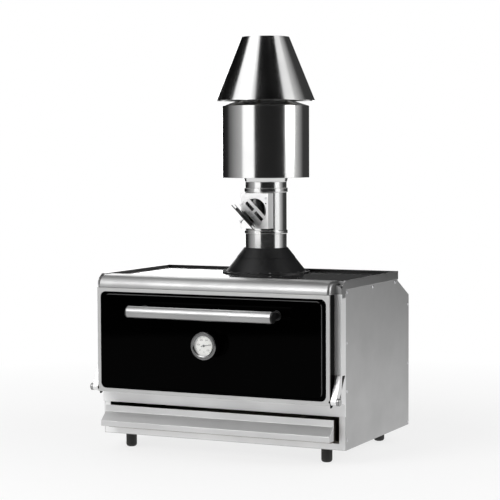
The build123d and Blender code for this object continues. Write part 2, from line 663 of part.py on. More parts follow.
# The pins run in bushes in the door, and each has a round head outside its arm.
PIN_INNER = 430.0
PIN_HEAD_HEIGHT = 10.0
with BuildPart() as hinge_pins:
    for sign in SIDES.values():
        with BuildSketch(Plane.YZ.offset(sign * PIN_INNER)):
            with Locations((PIVOT_Y, PIVOT_Z)):
                Circle(PIN_RADIUS)
        extrude(amount=sign * (CASING_HALF - PIN_INNER))
        with BuildSketch(Plane.YZ.offset(sign * CASING_HALF)):
            with Locations((PIVOT_Y, PIVOT_Z)):
                Circle(KNUCKLE_RADIUS)
        extrude(amount=sign * PIN_HEAD_HEIGHT)
    pin_ends = hinge_pins.faces().filter_by(Axis.X).sort_by(Axis.X)
    fillet((pin_ends[0].edges() + pin_ends[-1].edges()), 3)
hinge_pins.part.label = "hinge_pins"
export_step(hinge_pins.part, "parts/hinge_pins.step")

with BuildPart() as hinge_bushes:
    for sign in SIDES.values():
        with BuildSketch(Plane.YZ.offset(sign * PIN_INNER)):
            with Locations((PIVOT_Y, PIVOT_Z)):
                Circle(BUSH_RADIUS)
                Circle(PIN_RADIUS + BORE_GAP, mode=Mode.SUBTRACT)
        extrude(amount=sign * (DOOR_HALF - PIN_INNER))
hinge_bushes.part.label = "hinge_bushes"
export_step(hinge_bushes.part, "parts/hinge_bushes.step")


# Door

DOOR_HEIGHT = DOOR_TOP - DOOR_BOTTOM
DOOR_CENTRE_Z = (DOOR_TOP + DOOR_BOTTOM) / 2
SHELL_FRONT = DOOR_FRONT + RIM_DEPTH
SHELL_REAR = DOOR_REAR - SHEET
SHELL_WALL = 1.5
LUG_WIDTH = 4.0
LUG_RADIUS = 22.0
STEM_RADIUS = 4.0
INNER_TRAY_HALF = DOOR_HALF - 4.0
INNER_TRAY_HEIGHT = DOOR_HEIGHT - 8.0

# The door shell is a black tray, open to the rear, with a pivot lug on each side.
with BuildPart() as door_shell:
    with BuildSketch(Plane.XZ.offset(-SHELL_FRONT)):
        with Locations((0, DOOR_CENTRE_Z)):
            Rectangle(2 * DOOR_HALF, DOOR_HEIGHT)
    extrude(amount=SHELL_FRONT - SHELL_REAR)
    offset(amount=-SHELL_WALL, openings=door_shell.faces().sort_by(Axis.Y)[-1], kind=Kind.INTERSECTION)
    for sign in SIDES.values():
        with BuildSketch(Plane.YZ.offset(sign * (DOOR_HALF - LUG_WIDTH))):
            with Locations((PIVOT_Y, PIVOT_Z)):
                Circle(KNUCKLE_RADIUS)
            with Locations((PIVOT_Y, PIVOT_Z)):
                Circle(LUG_RADIUS)
            with Locations((PIVOT_Y - LUG_RADIUS, PIVOT_Z - LUG_RADIUS)):
                Rectangle(LUG_RADIUS, LUG_RADIUS, align=(Align.MIN, Align.MIN), mode=Mode.SUBTRACT)
            with Locations((PIVOT_Y - LUG_RADIUS, PIVOT_Z)):
                Rectangle(2 * LUG_RADIUS, LUG_RADIUS, align=(Align.MIN, Align.MIN), mode=Mode.SUBTRACT)
            with Locations((PIVOT_Y, PIVOT_Z)):
                Circle(KNUCKLE_RADIUS)
        extrude(amount=sign * LUG_WIDTH)
        with BuildSketch(Plane.YZ.offset(sign * PIN_INNER)):
            with Locations((PIVOT_Y, PIVOT_Z)):
                Circle(BUSH_RADIUS)
        extrude(amount=sign * (DOOR_HALF - PIN_INNER), mode=Mode.SUBTRACT)
    with BuildSketch(Plane.XZ.offset(-SHELL_FRONT)):
        with Locations((0, GAUGE_Z)):
            Circle(STEM_RADIUS)
    extrude(amount=-SHELL_WALL, mode=Mode.SUBTRACT)
door_shell.part.label = "door_shell"
export_step(door_shell.part, "parts/door_shell.step")

# The bright rim is a flat frame round the black panel.
RIM_INNER = (2 * (DOOR_HALF - RIM_WIDTH), DOOR_HEIGHT - 2 * RIM_WIDTH)
with BuildPart() as door_rim:
    with BuildSketch(Plane.XZ.offset(-DOOR_FRONT)):
        with Locations((0, DOOR_CENTRE_Z)):
            Rectangle(2 * DOOR_HALF, DOOR_HEIGHT)
            RectangleRounded(*RIM_INNER, PANEL_CORNER, mode=Mode.SUBTRACT)
    extrude(amount=-RIM_DEPTH)
    chamfer(door_rim.faces().sort_by(Axis.Y)[0].outer_wire().edges(), 1)
    for sign in SIDES.values():
        with BuildSketch(Plane.YZ.offset(sign * (DOOR_HALF - LUG_WIDTH))):
            with Locations((PIVOT_Y, PIVOT_Z)):
                Circle(KNUCKLE_RADIUS)
        extrude(amount=sign * LUG_WIDTH, mode=Mode.SUBTRACT)
door_rim.part.label = "door_rim"
export_step(door_rim.part, "parts/door_rim.step")

# The black panel fills the rim, and its middle is pressed out to the rim's level.
PANEL_BASE = 1.5
PANEL_PRESS = RIM_DEPTH - PANEL_BASE
PANEL_FIELD_SIDE = 15.0
PANEL_FIELD_TOP = 8.0
PANEL_GAP = 0.5
field_size = (RIM_INNER[0] - 2 * PANEL_FIELD_SIDE, RIM_INNER[1] - 2 * PANEL_FIELD_TOP)
with BuildPart() as door_panel:
    with BuildSketch(Plane.XZ.offset(-SHELL_FRONT)):
        with Locations((0, DOOR_CENTRE_Z)):
            RectangleRounded(RIM_INNER[0] - 2 * PANEL_GAP, RIM_INNER[1] - 2 * PANEL_GAP, PANEL_CORNER)
    extrude(amount=PANEL_BASE)
    with BuildSketch(Plane.XZ.offset(PANEL_BASE - SHELL_FRONT)):
        with Locations((0, DOOR_CENTRE_Z)):
            RectangleRounded(*field_size, PANEL_CORNER)
    extrude(amount=PANEL_PRESS, taper=45)
    with BuildSketch(Plane.XZ.offset(-SHELL_FRONT)):
        with Locations((0, DOOR_CENTRE_Z)):
            RectangleRounded(field_size[0] - PANEL_BASE, field_size[1] - PANEL_BASE, PANEL_CORNER)
    extrude(amount=PANEL_PRESS, taper=45, mode=Mode.SUBTRACT)
    with BuildSketch(Plane.XZ.offset(-DOOR_FRONT)):
        with Locations((0, GAUGE_Z)):
            Circle(STEM_RADIUS)
    extrude(amount=-RIM_DEPTH, mode=Mode.SUBTRACT)
door_panel.part.label = "door_panel"
export_step(door_panel.part, "parts/door_panel.step")

# The inner panel closes the shell, and its hollow plug stands into the mouth.
PLUG_SIZE = (2 * PLUG_HALF, PLUG_TOP - PLUG_BOTTOM)
PLUG_CENTRE_Z = (PLUG_TOP + PLUG_BOTTOM) / 2
with BuildPart() as door_inner_panel:
    with BuildSketch(Plane.XZ.offset(-SHELL_REAR)):
        with Locations((0, DOOR_CENTRE_Z)):
            Rectangle(2 * INNER_TRAY_HALF, INNER_TRAY_HEIGHT)
    extrude(amount=-SHEET)
    with BuildSketch(Plane.XZ.offset(-DOOR_REAR)):
        with Locations((0, PLUG_CENTRE_Z)):
            RectangleRounded(*PLUG_SIZE, 12)
    extrude(amount=DOOR_REAR - PLUG_REAR)
    with BuildSketch(Plane.XZ.offset(-SHELL_REAR)):
        with Locations((0, PLUG_CENTRE_Z)):
            RectangleRounded(PLUG_SIZE[0] - 2 * SHEET, PLUG_SIZE[1] - 2 * SHEET, 10)
    extrude(amount=SHELL_REAR - PLUG_REAR + SHEET, mode=Mode.SUBTRACT)
    with BuildSketch(Plane.XZ.offset(-PLUG_REAR)):
        with Locations((0, GAUGE_Z)):
            Circle(STEM_RADIUS)
    extrude(amount=SHEET, mode=Mode.SUBTRACT)
door_inner_panel.part.label = "door_inner_panel"
export_step(door_inner_panel.part, "parts/door_inner_panel.step")

DOOR_WOOL_SIZE = (760.0, 270.0)
with BuildPart() as door_insulation:
    with BuildSketch(Plane.XZ.offset(-SHELL_FRONT - SHELL_WALL)):
        with Locations((0, PLUG_CENTRE_Z)):
            Rectangle(*DOOR_WOOL_SIZE)
        with Locations((0, GAUGE_Z)):
            Circle(STEM_RADIUS, mode=Mode.SUBTRACT)
    extrude(amount=SHELL_FRONT + SHELL_WALL - PLUG_REAR + SHEET)
door_insulation.part.label = "door_insulation"
export_step(door_insulation.part, "parts/door_insulation.step")

# The seal runs round the mouth and stops just short of the fascia.
SEAL_WIDTH = 10.0
SEAL_OUTER = (2 * 418.0, 340.0)
SEAL_FRONT_GAP = 0.4
with BuildPart() as door_seal:
    with BuildSketch(Plane.XZ.offset(-DOOR_REAR)):
        with Locations((0, MOUTH_CENTRE_Z)):
            RectangleRounded(*SEAL_OUTER, 16)
            inner_seal = (SEAL_OUTER[0] - 2 * SEAL_WIDTH, SEAL_OUTER[1] - 2 * SEAL_WIDTH)
            RectangleRounded(*inner_seal, 6, mode=Mode.SUBTRACT)
    extrude(amount=DOOR_REAR - FASCIA_Y + SEAL_FRONT_GAP)
door_seal.part.label = "door_seal"
export_step(door_seal.part, "parts/door_seal.step")

# The handle is a steel tube with end caps, on two black posts.
HANDLE_WALL = 2.0
CAP_THICKNESS = 5.0
CAP_EDGE = 2.0
HANDLE_SECTION = Plane(origin=(0, HANDLE_Y, HANDLE_Z), x_dir=(0, 1, 0), z_dir=(1, 0, 0))
TUBE_HALF = HANDLE_HALF - CAP_THICKNESS
with BuildPart() as handle_bar:
    with BuildSketch(HANDLE_SECTION.offset(-TUBE_HALF)):
        Circle(HANDLE_RADIUS)
        Circle(HANDLE_RADIUS - HANDLE_WALL, mode=Mode.SUBTRACT)
    extrude(amount=2 * TUBE_HALF)
handle_bar.part.label = "handle_bar"
export_step(handle_bar.part, "parts/handle_bar.step")

with BuildPart() as handle_caps:
    for sign in SIDES.values():
        with BuildSketch(HANDLE_SECTION.offset(sign * TUBE_HALF)):
            Circle(HANDLE_RADIUS)
        extrude(amount=sign * CAP_THICKNESS)
    cap_faces = handle_caps.faces().filter_by(Axis.X).sort_by(Axis.X)
    chamfer(cap_faces[0].edges() + cap_faces[-1].edges(), CAP_EDGE)
handle_caps.part.label = "handle_caps"
export_step(handle_caps.part, "parts/handle_caps.step")

POST_RADIUS = 12.0
POST_FOOT_RADIUS = 17.0
POST_FOOT_HEIGHT = 5.0
with BuildPart() as handle_posts:
    with BuildSketch(Plane.XZ.offset(-DOOR_FRONT)):
        with Locations((-POST_X, HANDLE_Z), (POST_X, HANDLE_Z)):
            Circle(POST_RADIUS)
    extrude(amount=DOOR_FRONT - HANDLE_Y)
    with BuildSketch(Plane.XZ.offset(-DOOR_FRONT)):
        with Locations((-POST_X, HANDLE_Z), (POST_X, HANDLE_Z)):
            Circle(POST_FOOT_RADIUS)
    extrude(amount=POST_FOOT_HEIGHT)
    with BuildSketch(HANDLE_SECTION.offset(-TUBE_HALF)):
        Circle(HANDLE_RADIUS)
    extrude(amount=2 * TUBE_HALF, mode=Mode.SUBTRACT)
handle_posts.part.label = "handle_posts"
export_step(handle_posts.part, "parts/handle_posts.step")

# The thermometer: a cup on a short neck, whose probe goes through the door.
CASE_RADIUS = 45.0
CASE_BACK = -319.0
CASE_FRONT = -341.0
NECK_STUB_RADIUS = 16.0
CASE_WALL = 2.0
PROBE_REAR = -214.0
DIAL_BACK = -337.0
DIAL_THICKNESS = 1.0
LENS_BACK = -342.0
LENS_THICKNESS = 2.0
SPINDLE_RADIUS = 1.2
GAUGE_SECTION = Plane(origin=(0, 0, GAUGE_Z), x_dir=(1, 0, 0), z_dir=(0, 0, 1))
GAUGE_AXIS = Axis((0, 0, GAUGE_Z), (0, 1, 0))
with BuildPart() as thermometer_case:
    with BuildSketch(GAUGE_SECTION):
        Polygon(
            (0, PROBE_REAR),
            (STEM_RADIUS, PROBE_REAR),
            (STEM_RADIUS, DOOR_FRONT),
            (NECK_STUB_RADIUS, DOOR_FRONT),
            (NECK_STUB_RADIUS, CASE_BACK),
            (CASE_RADIUS, CASE_BACK),
            (CASE_RADIUS, CASE_FRONT),
            (CASE_RADIUS - CASE_WALL, CASE_FRONT),
            (CASE_RADIUS - CASE_WALL, CASE_BACK - CASE_WALL),
            (0, CASE_BACK - CASE_WALL),
            align=None,
        )
    revolve(axis=GAUGE_AXIS)
thermometer_case.part.label = "thermometer_case"
export_step(thermometer_case.part, "parts/thermometer_case.step")

with BuildPart() as thermometer_bezel:
    with BuildSketch(GAUGE_SECTION):
        Polygon(
            (CASE_RADIUS, CASE_FRONT + 4.0),
            (GAUGE_RADIUS, CASE_FRONT + 4.0),
            (GAUGE_RADIUS, GAUGE_FRONT + 2.5),
            (GAUGE_RADIUS - 2.5, GAUGE_FRONT),
            (GAUGE_RADIUS - 7.5, GAUGE_FRONT),
            (DIAL_RADIUS, LENS_BACK - LENS_THICKNESS),
            (DIAL_RADIUS, DIAL_BACK - DIAL_THICKNESS - 3.0),
            (DIAL_RADIUS + 2.0, DIAL_BACK - DIAL_THICKNESS - 3.0),
            (DIAL_RADIUS + 2.0, CASE_FRONT),
            (CASE_RADIUS, CASE_FRONT),
            align=None,
        )
    revolve(axis=GAUGE_AXIS)
thermometer_bezel.part.label = "thermometer_bezel"
export_step(thermometer_bezel.part, "parts/thermometer_bezel.step")

DIAL_PLATE_RADIUS = CASE_RADIUS - CASE_WALL
with BuildPart() as thermometer_dial:
    with BuildSketch(Plane.XZ.offset(-DIAL_BACK)):
        with Locations((0, GAUGE_Z)):
            Circle(DIAL_PLATE_RADIUS)
            Circle(SPINDLE_RADIUS + BORE_GAP, mode=Mode.SUBTRACT)
    extrude(amount=DIAL_THICKNESS)
thermometer_dial.part.label = "thermometer_dial"
export_step(thermometer_dial.part, "parts/thermometer_dial.step")

with BuildPart() as thermometer_lens:
    with BuildSketch(Plane.XZ.offset(-LENS_BACK)):
        with Locations((0, GAUGE_Z)):
            Circle(DIAL_RADIUS)
    extrude(amount=LENS_THICKNESS)
thermometer_lens.part.label = "thermometer_lens"
export_step(thermometer_lens.part, "parts/thermometer_lens.step")

# The needle points right and a little up, with a short tail and a spindle behind its hub.
NEEDLE_BACK = -339.2
NEEDLE_THICKNESS = 0.8
NEEDLE_LENGTH = 28.0
NEEDLE_TAIL = 11.0
HUB_RADIUS = 4.0
HUB_THICKNESS = 1.6
SPINDLE_REAR = -333.0
with BuildPart() as needle:
    with BuildSketch(Plane.XZ.offset(-NEEDLE_BACK)):
        with Locations(Location((0, GAUGE_Z, 0), (0, 0, NEEDLE_LIFT))):
            Polygon((-NEEDLE_TAIL, -1.6), (-NEEDLE_TAIL, 1.6), (NEEDLE_LENGTH, 0.4), (NEEDLE_LENGTH, -0.4),
                    align=None)
    extrude(amount=NEEDLE_THICKNESS)
    with BuildSketch(Plane.XZ.offset(-NEEDLE_BACK)):
        with Locations((0, GAUGE_Z)):
            Circle(HUB_RADIUS)
    extrude(amount=HUB_THICKNESS)
    with BuildSketch(Plane.XZ.offset(-NEEDLE_BACK)):
        with Locations((0, GAUGE_Z)):
            Circle(SPINDLE_RADIUS)
    extrude(amount=NEEDLE_BACK - SPINDLE_REAR)
needle.part.label = "needle"
export_step(needle.part, "parts/needle.step")


# Flue

# The flue stands near the back edge, so its flange and cone are cut flat there.
FLUE_CUT = COVER_REAR - 1.0 - FLUE_Y
FLUE_SPAN = 2 * FLANGE_RADIUS
with BuildPart() as flue_flange:
    with BuildSketch(FLUE_TOP_VIEW.offset(COVER_Z + SHEET)):
        Circle(FLANGE_RADIUS)
        Circle(PIPE_RADIUS, mode=Mode.SUBTRACT)
        with Locations((0, FLUE_CUT)):
            Rectangle(FLUE_SPAN, FLUE_SPAN, align=(Align.CENTER, Align.MIN), mode=Mode.SUBTRACT)
    extrude(amount=FLANGE_TOP - COVER_Z - SHEET)
flue_flange.part.label = "flue_flange"
export_step(flue_flange.part, "parts/flue_flange.step")

BOLT_CIRCLE = 151.5
BOLT_COUNT = 17
BOLT_STEP = 15.0
BOLT_START = 150.0
BOLT_HEAD = 4.5
BOLT_HEIGHT = 3.5
with BuildPart() as flange_bolts:
    with BuildSketch(FLUE_TOP_VIEW.offset(FLANGE_TOP)):
        with PolarLocations(BOLT_CIRCLE, BOLT_COUNT, BOLT_START, BOLT_STEP * BOLT_COUNT):
            RegularPolygon(BOLT_HEAD, 6)
    extrude(amount=BOLT_HEIGHT)
flange_bolts.part.label = "flange_bolts"
export_step(flange_bolts.part, "parts/flange_bolts.step")


def cone_radius(height):
    """Outer radius of the flue cone at a height."""
    share = (height - FLANGE_TOP) / (CONE_TOP_Z - FLANGE_TOP)
    return CONE_FOOT_RADIUS + share * (CONE_TOP_RADIUS - CONE_FOOT_RADIUS)


FLUE_AXIS = Axis((0, FLUE_Y, 0), (0, 0, 1))
CONE_SLANT_WALL = 2.5
COLLAR_PROUD = 1.5
split_radius = cone_radius(CONE_SPLIT_Z)
with BuildPart() as cone_hollow:
    with BuildSketch(FLUE_SECTION):
        Polygon(
            (0, FLANGE_TOP),
            (CONE_FOOT_RADIUS - CONE_SLANT_WALL, FLANGE_TOP),
            (split_radius - CONE_SLANT_WALL, CONE_SPLIT_Z),
            (0, CONE_SPLIT_Z),
            align=None,
        )
    revolve(axis=FLUE_AXIS)
    split(bisect_by=Plane.XZ.offset(CONE_SLANT_WALL - FLUE_CUT - FLUE_Y), keep=Keep.TOP)

with BuildPart() as flue_cone:
    with BuildSketch(FLUE_SECTION):
        Polygon(
            (0, FLANGE_TOP),
            (CONE_FOOT_RADIUS, FLANGE_TOP),
            (split_radius, CONE_SPLIT_Z),
            (0, CONE_SPLIT_Z),
            align=None,
        )
    revolve(axis=FLUE_AXIS)
    split(bisect_by=Plane.XZ.offset(-FLUE_CUT - FLUE_Y), keep=Keep.TOP)
    add(cone_hollow.part, mode=Mode.SUBTRACT)
flue_cone.part.label = "flue_cone"
export_step(flue_cone.part, "parts/flue_cone.step")

with BuildPart() as cone_collar:
    with BuildSketch(FLUE_SECTION):
        Polygon(
            (split_radius + COLLAR_PROUD, CONE_SPLIT_Z),
            (CONE_TOP_RADIUS + COLLAR_PROUD, CONE_TOP_Z),
            (PIPE_RADIUS, CONE_TOP_Z),
            (split_radius - CONE_SLANT_WALL, CONE_SPLIT_Z),
            align=None,
        )
    revolve(axis=FLUE_AXIS)
cone_collar.part.label = "cone_collar"
export_step(cone_collar.part, "parts/cone_collar.step")

with BuildPart() as lower_flue_pipe:
    with BuildSketch(FLUE_TOP_VIEW.offset(CONE_TOP_Z - 8.0)):
        Circle(PIPE_RADIUS)
        Circle(PIPE_RADIUS - PIPE_WALL, mode=Mode.SUBTRACT)
    extrude(amount=DAMPER_PIPE_BOTTOM - CONE_TOP_Z + 8.0)
lower_flue_pipe.part.label = "lower_flue_pipe"
export_step(lower_flue_pipe.part, "parts/lower_flue_pipe.step")

# Round-edged bands clamp the pipe sections together.
BANDS = [(750.0, 763.0, 78.5), (899.0, 915.0, 79.0)]
with BuildPart() as clamp_bands:
    for band_bottom, band_top, band_radius in BANDS:
        with BuildSketch(FLUE_TOP_VIEW.offset(band_bottom)):
            Circle(band_radius)
            Circle(PIPE_RADIUS, mode=Mode.SUBTRACT)
        extrude(amount=band_top - band_bottom)
    band_rims = clamp_bands.edges().filter_by(GeomType.CIRCLE).filter_by(lambda edge: edge.radius > 78)
    fillet(band_rims, 2.5)
clamp_bands.part.label = "clamp_bands"
export_step(clamp_bands.part, "parts/clamp_bands.step")

with BuildPart() as damper_pipe:
    with BuildSketch(FLUE_TOP_VIEW.offset(DAMPER_PIPE_BOTTOM)):
        Circle(PIPE_RADIUS)
        Circle(PIPE_RADIUS - PIPE_WALL, mode=Mode.SUBTRACT)
    extrude(amount=DAMPER_PIPE_TOP - DAMPER_PIPE_BOTTOM)
    with BuildSketch(Plane.XZ.offset(-HOUSING_FRONT)):
        with Locations((0, DAMPER_Z)):
            Circle(DAMPER_HOLE_RADIUS)
    extrude(amount=HOUSING_FRONT - FLUE_Y, mode=Mode.SUBTRACT)
damper_pipe.part.label = "damper_pipe"
export_step(damper_pipe.part, "parts/damper_pipe.step")

GROOVE_Z = 936.5
FLARE_RADIUS = 80.0
with BuildPart() as upper_flue_pipe:
    with BuildSketch(FLUE_SECTION):
        Polygon(
            (PIPE_RADIUS - PIPE_WALL, DAMPER_PIPE_TOP),
            (PIPE_RADIUS, DAMPER_PIPE_TOP),
            (PIPE_RADIUS, GROOVE_Z),
            (PIPE_RADIUS + 1.5, GROOVE_Z + 1.0),
            (FLARE_RADIUS, FIREBREAK_BOTTOM),
            (PIPE_RADIUS - PIPE_WALL, FIREBREAK_BOTTOM),
            align=None,
        )
    revolve(axis=FLUE_AXIS)
upper_flue_pipe.part.label = "upper_flue_pipe"
export_step(upper_flue_pipe.part, "parts/upper_flue_pipe.step")

# The firebreak is a wide drum that slows the sparks, with a ring-shaped floor.
with BuildPart() as firebreak_drum:
    with BuildSketch(FLUE_SECTION):
        Polygon(
            (PIPE_RADIUS - PIPE_WALL, FIREBREAK_BOTTOM),
            (FIREBREAK_RADIUS, FIREBREAK_BOTTOM),
            (FIREBREAK_RADIUS, FIREBREAK_TOP),
            (FIREBREAK_RADIUS - THIN_SHEET, FIREBREAK_TOP),
            (FIREBREAK_RADIUS - THIN_SHEET, FIREBREAK_BOTTOM + THIN_SHEET),
            (PIPE_RADIUS - PIPE_WALL, FIREBREAK_BOTTOM + THIN_SHEET),
            align=None,
        )
    revolve(axis=FLUE_AXIS)
firebreak_drum.part.label = "firebreak_drum"
export_step(firebreak_drum.part, "parts/firebreak_drum.step")

# The drum's lid slopes up to a short open neck under the hat.
with BuildPart() as firebreak_lid:
    with BuildSketch(FLUE_SECTION):
        Polygon(
            (FIREBREAK_RADIUS, FIREBREAK_TOP),
            (NECK_RADIUS, NECK_FOOT_Z),
            (NECK_RADIUS, NECK_TOP_Z),
            (NECK_RADIUS - THIN_SHEET, NECK_TOP_Z),
            (NECK_RADIUS - THIN_SHEET, NECK_FOOT_Z - 1.0),
            (FIREBREAK_RADIUS - 4.0, FIREBREAK_TOP),
            align=None,
        )
    revolve(axis=FLUE_AXIS)
firebreak_lid.part.label = "firebreak_lid"
export_step(firebreak_lid.part, "parts/firebreak_lid.step")

# A shallow cone on three rods inside the drum turns the sparks aside.
BAFFLE_RADIUS = 95.0
BAFFLE_Z = 1070.0
BAFFLE_RISE = 25.0
BAFFLE_ROD_CIRCLE = 88.0
with BuildPart() as spark_baffle:
    with BuildSketch(FLUE_SECTION):
        Polygon(
            (0, BAFFLE_Z + BAFFLE_RISE),
            (BAFFLE_RADIUS, BAFFLE_Z),
            (BAFFLE_RADIUS, BAFFLE_Z - SHEET),
            (0, BAFFLE_Z + BAFFLE_RISE - SHEET),
            align=None,
        )
    revolve(axis=FLUE_AXIS)
    with BuildSketch(FLUE_TOP_VIEW.offset(FIREBREAK_BOTTOM + THIN_SHEET)):
        with PolarLocations(BAFFLE_ROD_CIRCLE, 3, start_angle=90):
            Circle(3)
    extrude(amount=BAFFLE_Z - FIREBREAK_BOTTOM)
spark_baffle.part.label = "spark_baffle"
export_step(spark_baffle.part, "parts/spark_baffle.step")


def hat_radius(height):
    """Outer radius of the hat at a height."""
    share = (height - HAT_BOTTOM_Z) / (HAT_TOP_Z - HAT_BOTTOM_Z)
    return HAT_RADIUS + share * (HAT_TOP_RADIUS - HAT_RADIUS)


HAT_SLANT_WALL = 1.7
with BuildPart() as flue_hat:
    with BuildSketch(FLUE_SECTION):
        Polygon(
            (HAT_RADIUS, HAT_BOTTOM_Z),
            (HAT_TOP_RADIUS, HAT_TOP_Z),
            (HAT_TOP_RADIUS - HAT_SLANT_WALL, HAT_TOP_Z),
            (HAT_RADIUS - HAT_SLANT_WALL, HAT_BOTTOM_Z),
            align=None,
        )
    revolve(axis=FLUE_AXIS)
flue_hat.part.label = "flue_hat"
export_step(flue_hat.part, "parts/flue_hat.step")

# Three flat struts stand on the neck and carry the hat.
STRUT_WIDTH = 20.0
STRUT_THICKNESS = 3.0
STRUT_BOTTOM = 1262.0
STRUT_TOP = 1276.0
strut_low_reach = hat_radius(STRUT_BOTTOM) - HAT_SLANT_WALL
strut_high_reach = hat_radius(STRUT_TOP) - HAT_SLANT_WALL
with BuildPart() as hat_struts:
    for strut_angle in (30, 150, 270):
        strut_plane = Plane(
            origin=(0, FLUE_Y, 0),
            x_dir=(cos(radians(strut_angle)), sin(radians(strut_angle)), 0),
            z_dir=(sin(radians(strut_angle)), -cos(radians(strut_angle)), 0),
        )
        with BuildSketch(strut_plane):
            Polygon(
                (NECK_RADIUS, STRUT_BOTTOM),
                (strut_low_reach, STRUT_BOTTOM),
                (strut_high_reach, STRUT_TOP),
                (NECK_RADIUS, STRUT_TOP),
                align=None,
            )
        extrude(amount=STRUT_THICKNESS / 2, both=True)
hat_struts.part.label = "hat_struts"
export_step(hat_struts.part, "parts/hat_struts.step")


# Draught damper

# A square housing stands on the front of the pipe, with a round hole in its face.
HOUSING_REAR = 112.0
HOUSING_DEPTH = HOUSING_REAR - HOUSING_FRONT
HOUSING_SIZE = (2 * HOUSING_HALF, HOUSING_TOP - HOUSING_BOTTOM)
SCREW_X = 44.5
SCREW_Z = 880.0
EYE_Z = 861.0
HOUSING_PLANE = Plane.XZ.offset(-HOUSING_FRONT)
with BuildPart() as damper_housing:
    with BuildSketch(HOUSING_PLANE):
        with Locations((0, DAMPER_Z)):
            Rectangle(*HOUSING_SIZE)
    extrude(amount=-HOUSING_DEPTH)
    with BuildSketch(HOUSING_PLANE.offset(-SHEET)):
        with Locations((0, DAMPER_Z)):
            Rectangle(HOUSING_SIZE[0] - 2 * SHEET, HOUSING_SIZE[1] - 2 * SHEET)
    extrude(amount=SHEET - HOUSING_DEPTH, mode=Mode.SUBTRACT)
    with BuildSketch(HOUSING_PLANE):
        with Locations((0, DAMPER_Z)):
            Circle(DAMPER_HOLE_RADIUS)
        with Locations((SCREW_X, EYE_Z)):
            Circle(2.5)
    extrude(amount=-SHEET, mode=Mode.SUBTRACT)
    with BuildSketch(FLUE_TOP_VIEW.offset(HOUSING_BOTTOM)):
        Circle(PIPE_RADIUS)
    extrude(amount=HOUSING_TOP - HOUSING_BOTTOM, mode=Mode.SUBTRACT)
damper_housing.part.label = "damper_housing"
export_step(damper_housing.part, "parts/damper_housing.step")

# The flap's hinge line runs from upper left to lower right, off the middle of the hole.
# In these planes x runs along the hinge line, y across it and z outwards.
DIAGONAL = sqrt(0.5)
HINGE_X = -FLAP_OFFSET * DIAGONAL
HINGE_Z = DAMPER_Z - FLAP_OFFSET * DIAGONAL
hinge_direction = (DIAGONAL, 0, -DIAGONAL)
bracket_plane = Plane(origin=(HINGE_X, HOUSING_FRONT, HINGE_Z), x_dir=hinge_direction, z_dir=(0, -1, 0))
open_lean = -sin(radians(FLAP_OPEN)) * DIAGONAL
flap_plane = Plane(
    origin=(HINGE_X, FLAP_AXIS_Y, HINGE_Z),
    x_dir=hinge_direction,
    z_dir=(open_lean, -cos(radians(FLAP_OPEN)), open_lean),
)
BAR_THICKNESS = 2.0
LUG_PLACE = 32.0
LUG_THICKNESS = 4.0
LUG_ROUND = 5.0
PIVOT_ROD_RADIUS = 2.5
axis_height = HOUSING_FRONT - FLAP_AXIS_Y
with BuildPart() as damper_bracket:
    with BuildSketch(bracket_plane):
        with Locations((-3, 22)):
            Rectangle(106, 20)
        with Locations((0, 50)):
            Rectangle(94, 12)
        with Locations((0, 38)):
            Rectangle(10, 14)
        for sign in SIDES.values():
            with Locations((sign * LUG_PLACE, 5)):
                Rectangle(10, 22)
    extrude(amount=BAR_THICKNESS)
    for sign in SIDES.values():
        lug_plane = Plane(
            origin=bracket_plane.from_local_coords((sign * LUG_PLACE, 0, 0)),
            x_dir=bracket_plane.y_dir,
            z_dir=bracket_plane.x_dir,
        )
        with BuildSketch(lug_plane):
            with Locations((0, axis_height / 2)):
                Rectangle(2 * LUG_ROUND, axis_height)
            with Locations((0, axis_height)):
                Circle(LUG_ROUND)
                Circle(PIVOT_ROD_RADIUS + BORE_GAP, mode=Mode.SUBTRACT)
        extrude(amount=LUG_THICKNESS / 2, both=True)
damper_bracket.part.label = "damper_bracket"
export_step(damper_bracket.part, "parts/damper_bracket.step")

RIVET_PLACES = [(-50.0, 22.5), (-11.0, 22.5), (13.0, 22.5)]
RIVET_RADIUS = 3.5
RIVET_HEIGHT = 1.8
with BuildPart() as damper_screws:
    with BuildSketch(bracket_plane.offset(BAR_THICKNESS)):
        with Locations(*RIVET_PLACES):
            Circle(RIVET_RADIUS)
    extrude(amount=RIVET_HEIGHT, taper=15)
    with BuildSketch(HOUSING_PLANE):
        with Locations((SCREW_X, SCREW_Z)):
            Circle(RIVET_RADIUS + 1)
    extrude(amount=RIVET_HEIGHT, taper=15)
damper_screws.part.label = "damper_screws"
export_step(damper_screws.part, "parts/damper_screws.step")

# The flap is two discs on a spacer, cut straight beside the hinge, with two knuckles.
FLAP_CUT = 6.0
OUTER_DISC = (4.0, 3.0, FLAP_RADIUS)
SPACER = (-3.0, 7.0, 42.0)
INNER_DISC = (-5.0, 2.0, 54.0)
KNUCKLE_PLACE = 21.0
KNUCKLE_WIDTH = 10.0
with BuildPart() as damper_flap:
    for level, thickness, radius in (OUTER_DISC, SPACER, INNER_DISC):
        with BuildSketch(flap_plane.offset(level)):
            with Locations((0, FLAP_OFFSET)):
                Circle(radius)
            with Locations((0, FLAP_CUT)):
                Rectangle(4 * FLAP_RADIUS, 2 * FLAP_RADIUS, align=(Align.CENTER, Align.MAX), mode=Mode.SUBTRACT)
        extrude(amount=thickness)
    for sign in SIDES.values():
        knuckle_plane = Plane(
            origin=flap_plane.from_local_coords((sign * KNUCKLE_PLACE, 0, 0)),
            x_dir=flap_plane.y_dir,
            z_dir=flap_plane.x_dir,
        )
        with BuildSketch(knuckle_plane):
            Rectangle(FLAP_CUT, 2 * LUG_ROUND, align=(Align.MIN, Align.CENTER))
            Circle(LUG_ROUND)
            Circle(PIVOT_ROD_RADIUS, mode=Mode.SUBTRACT)
        extrude(amount=KNUCKLE_WIDTH / 2, both=True)
damper_flap.part.label = "damper_flap"
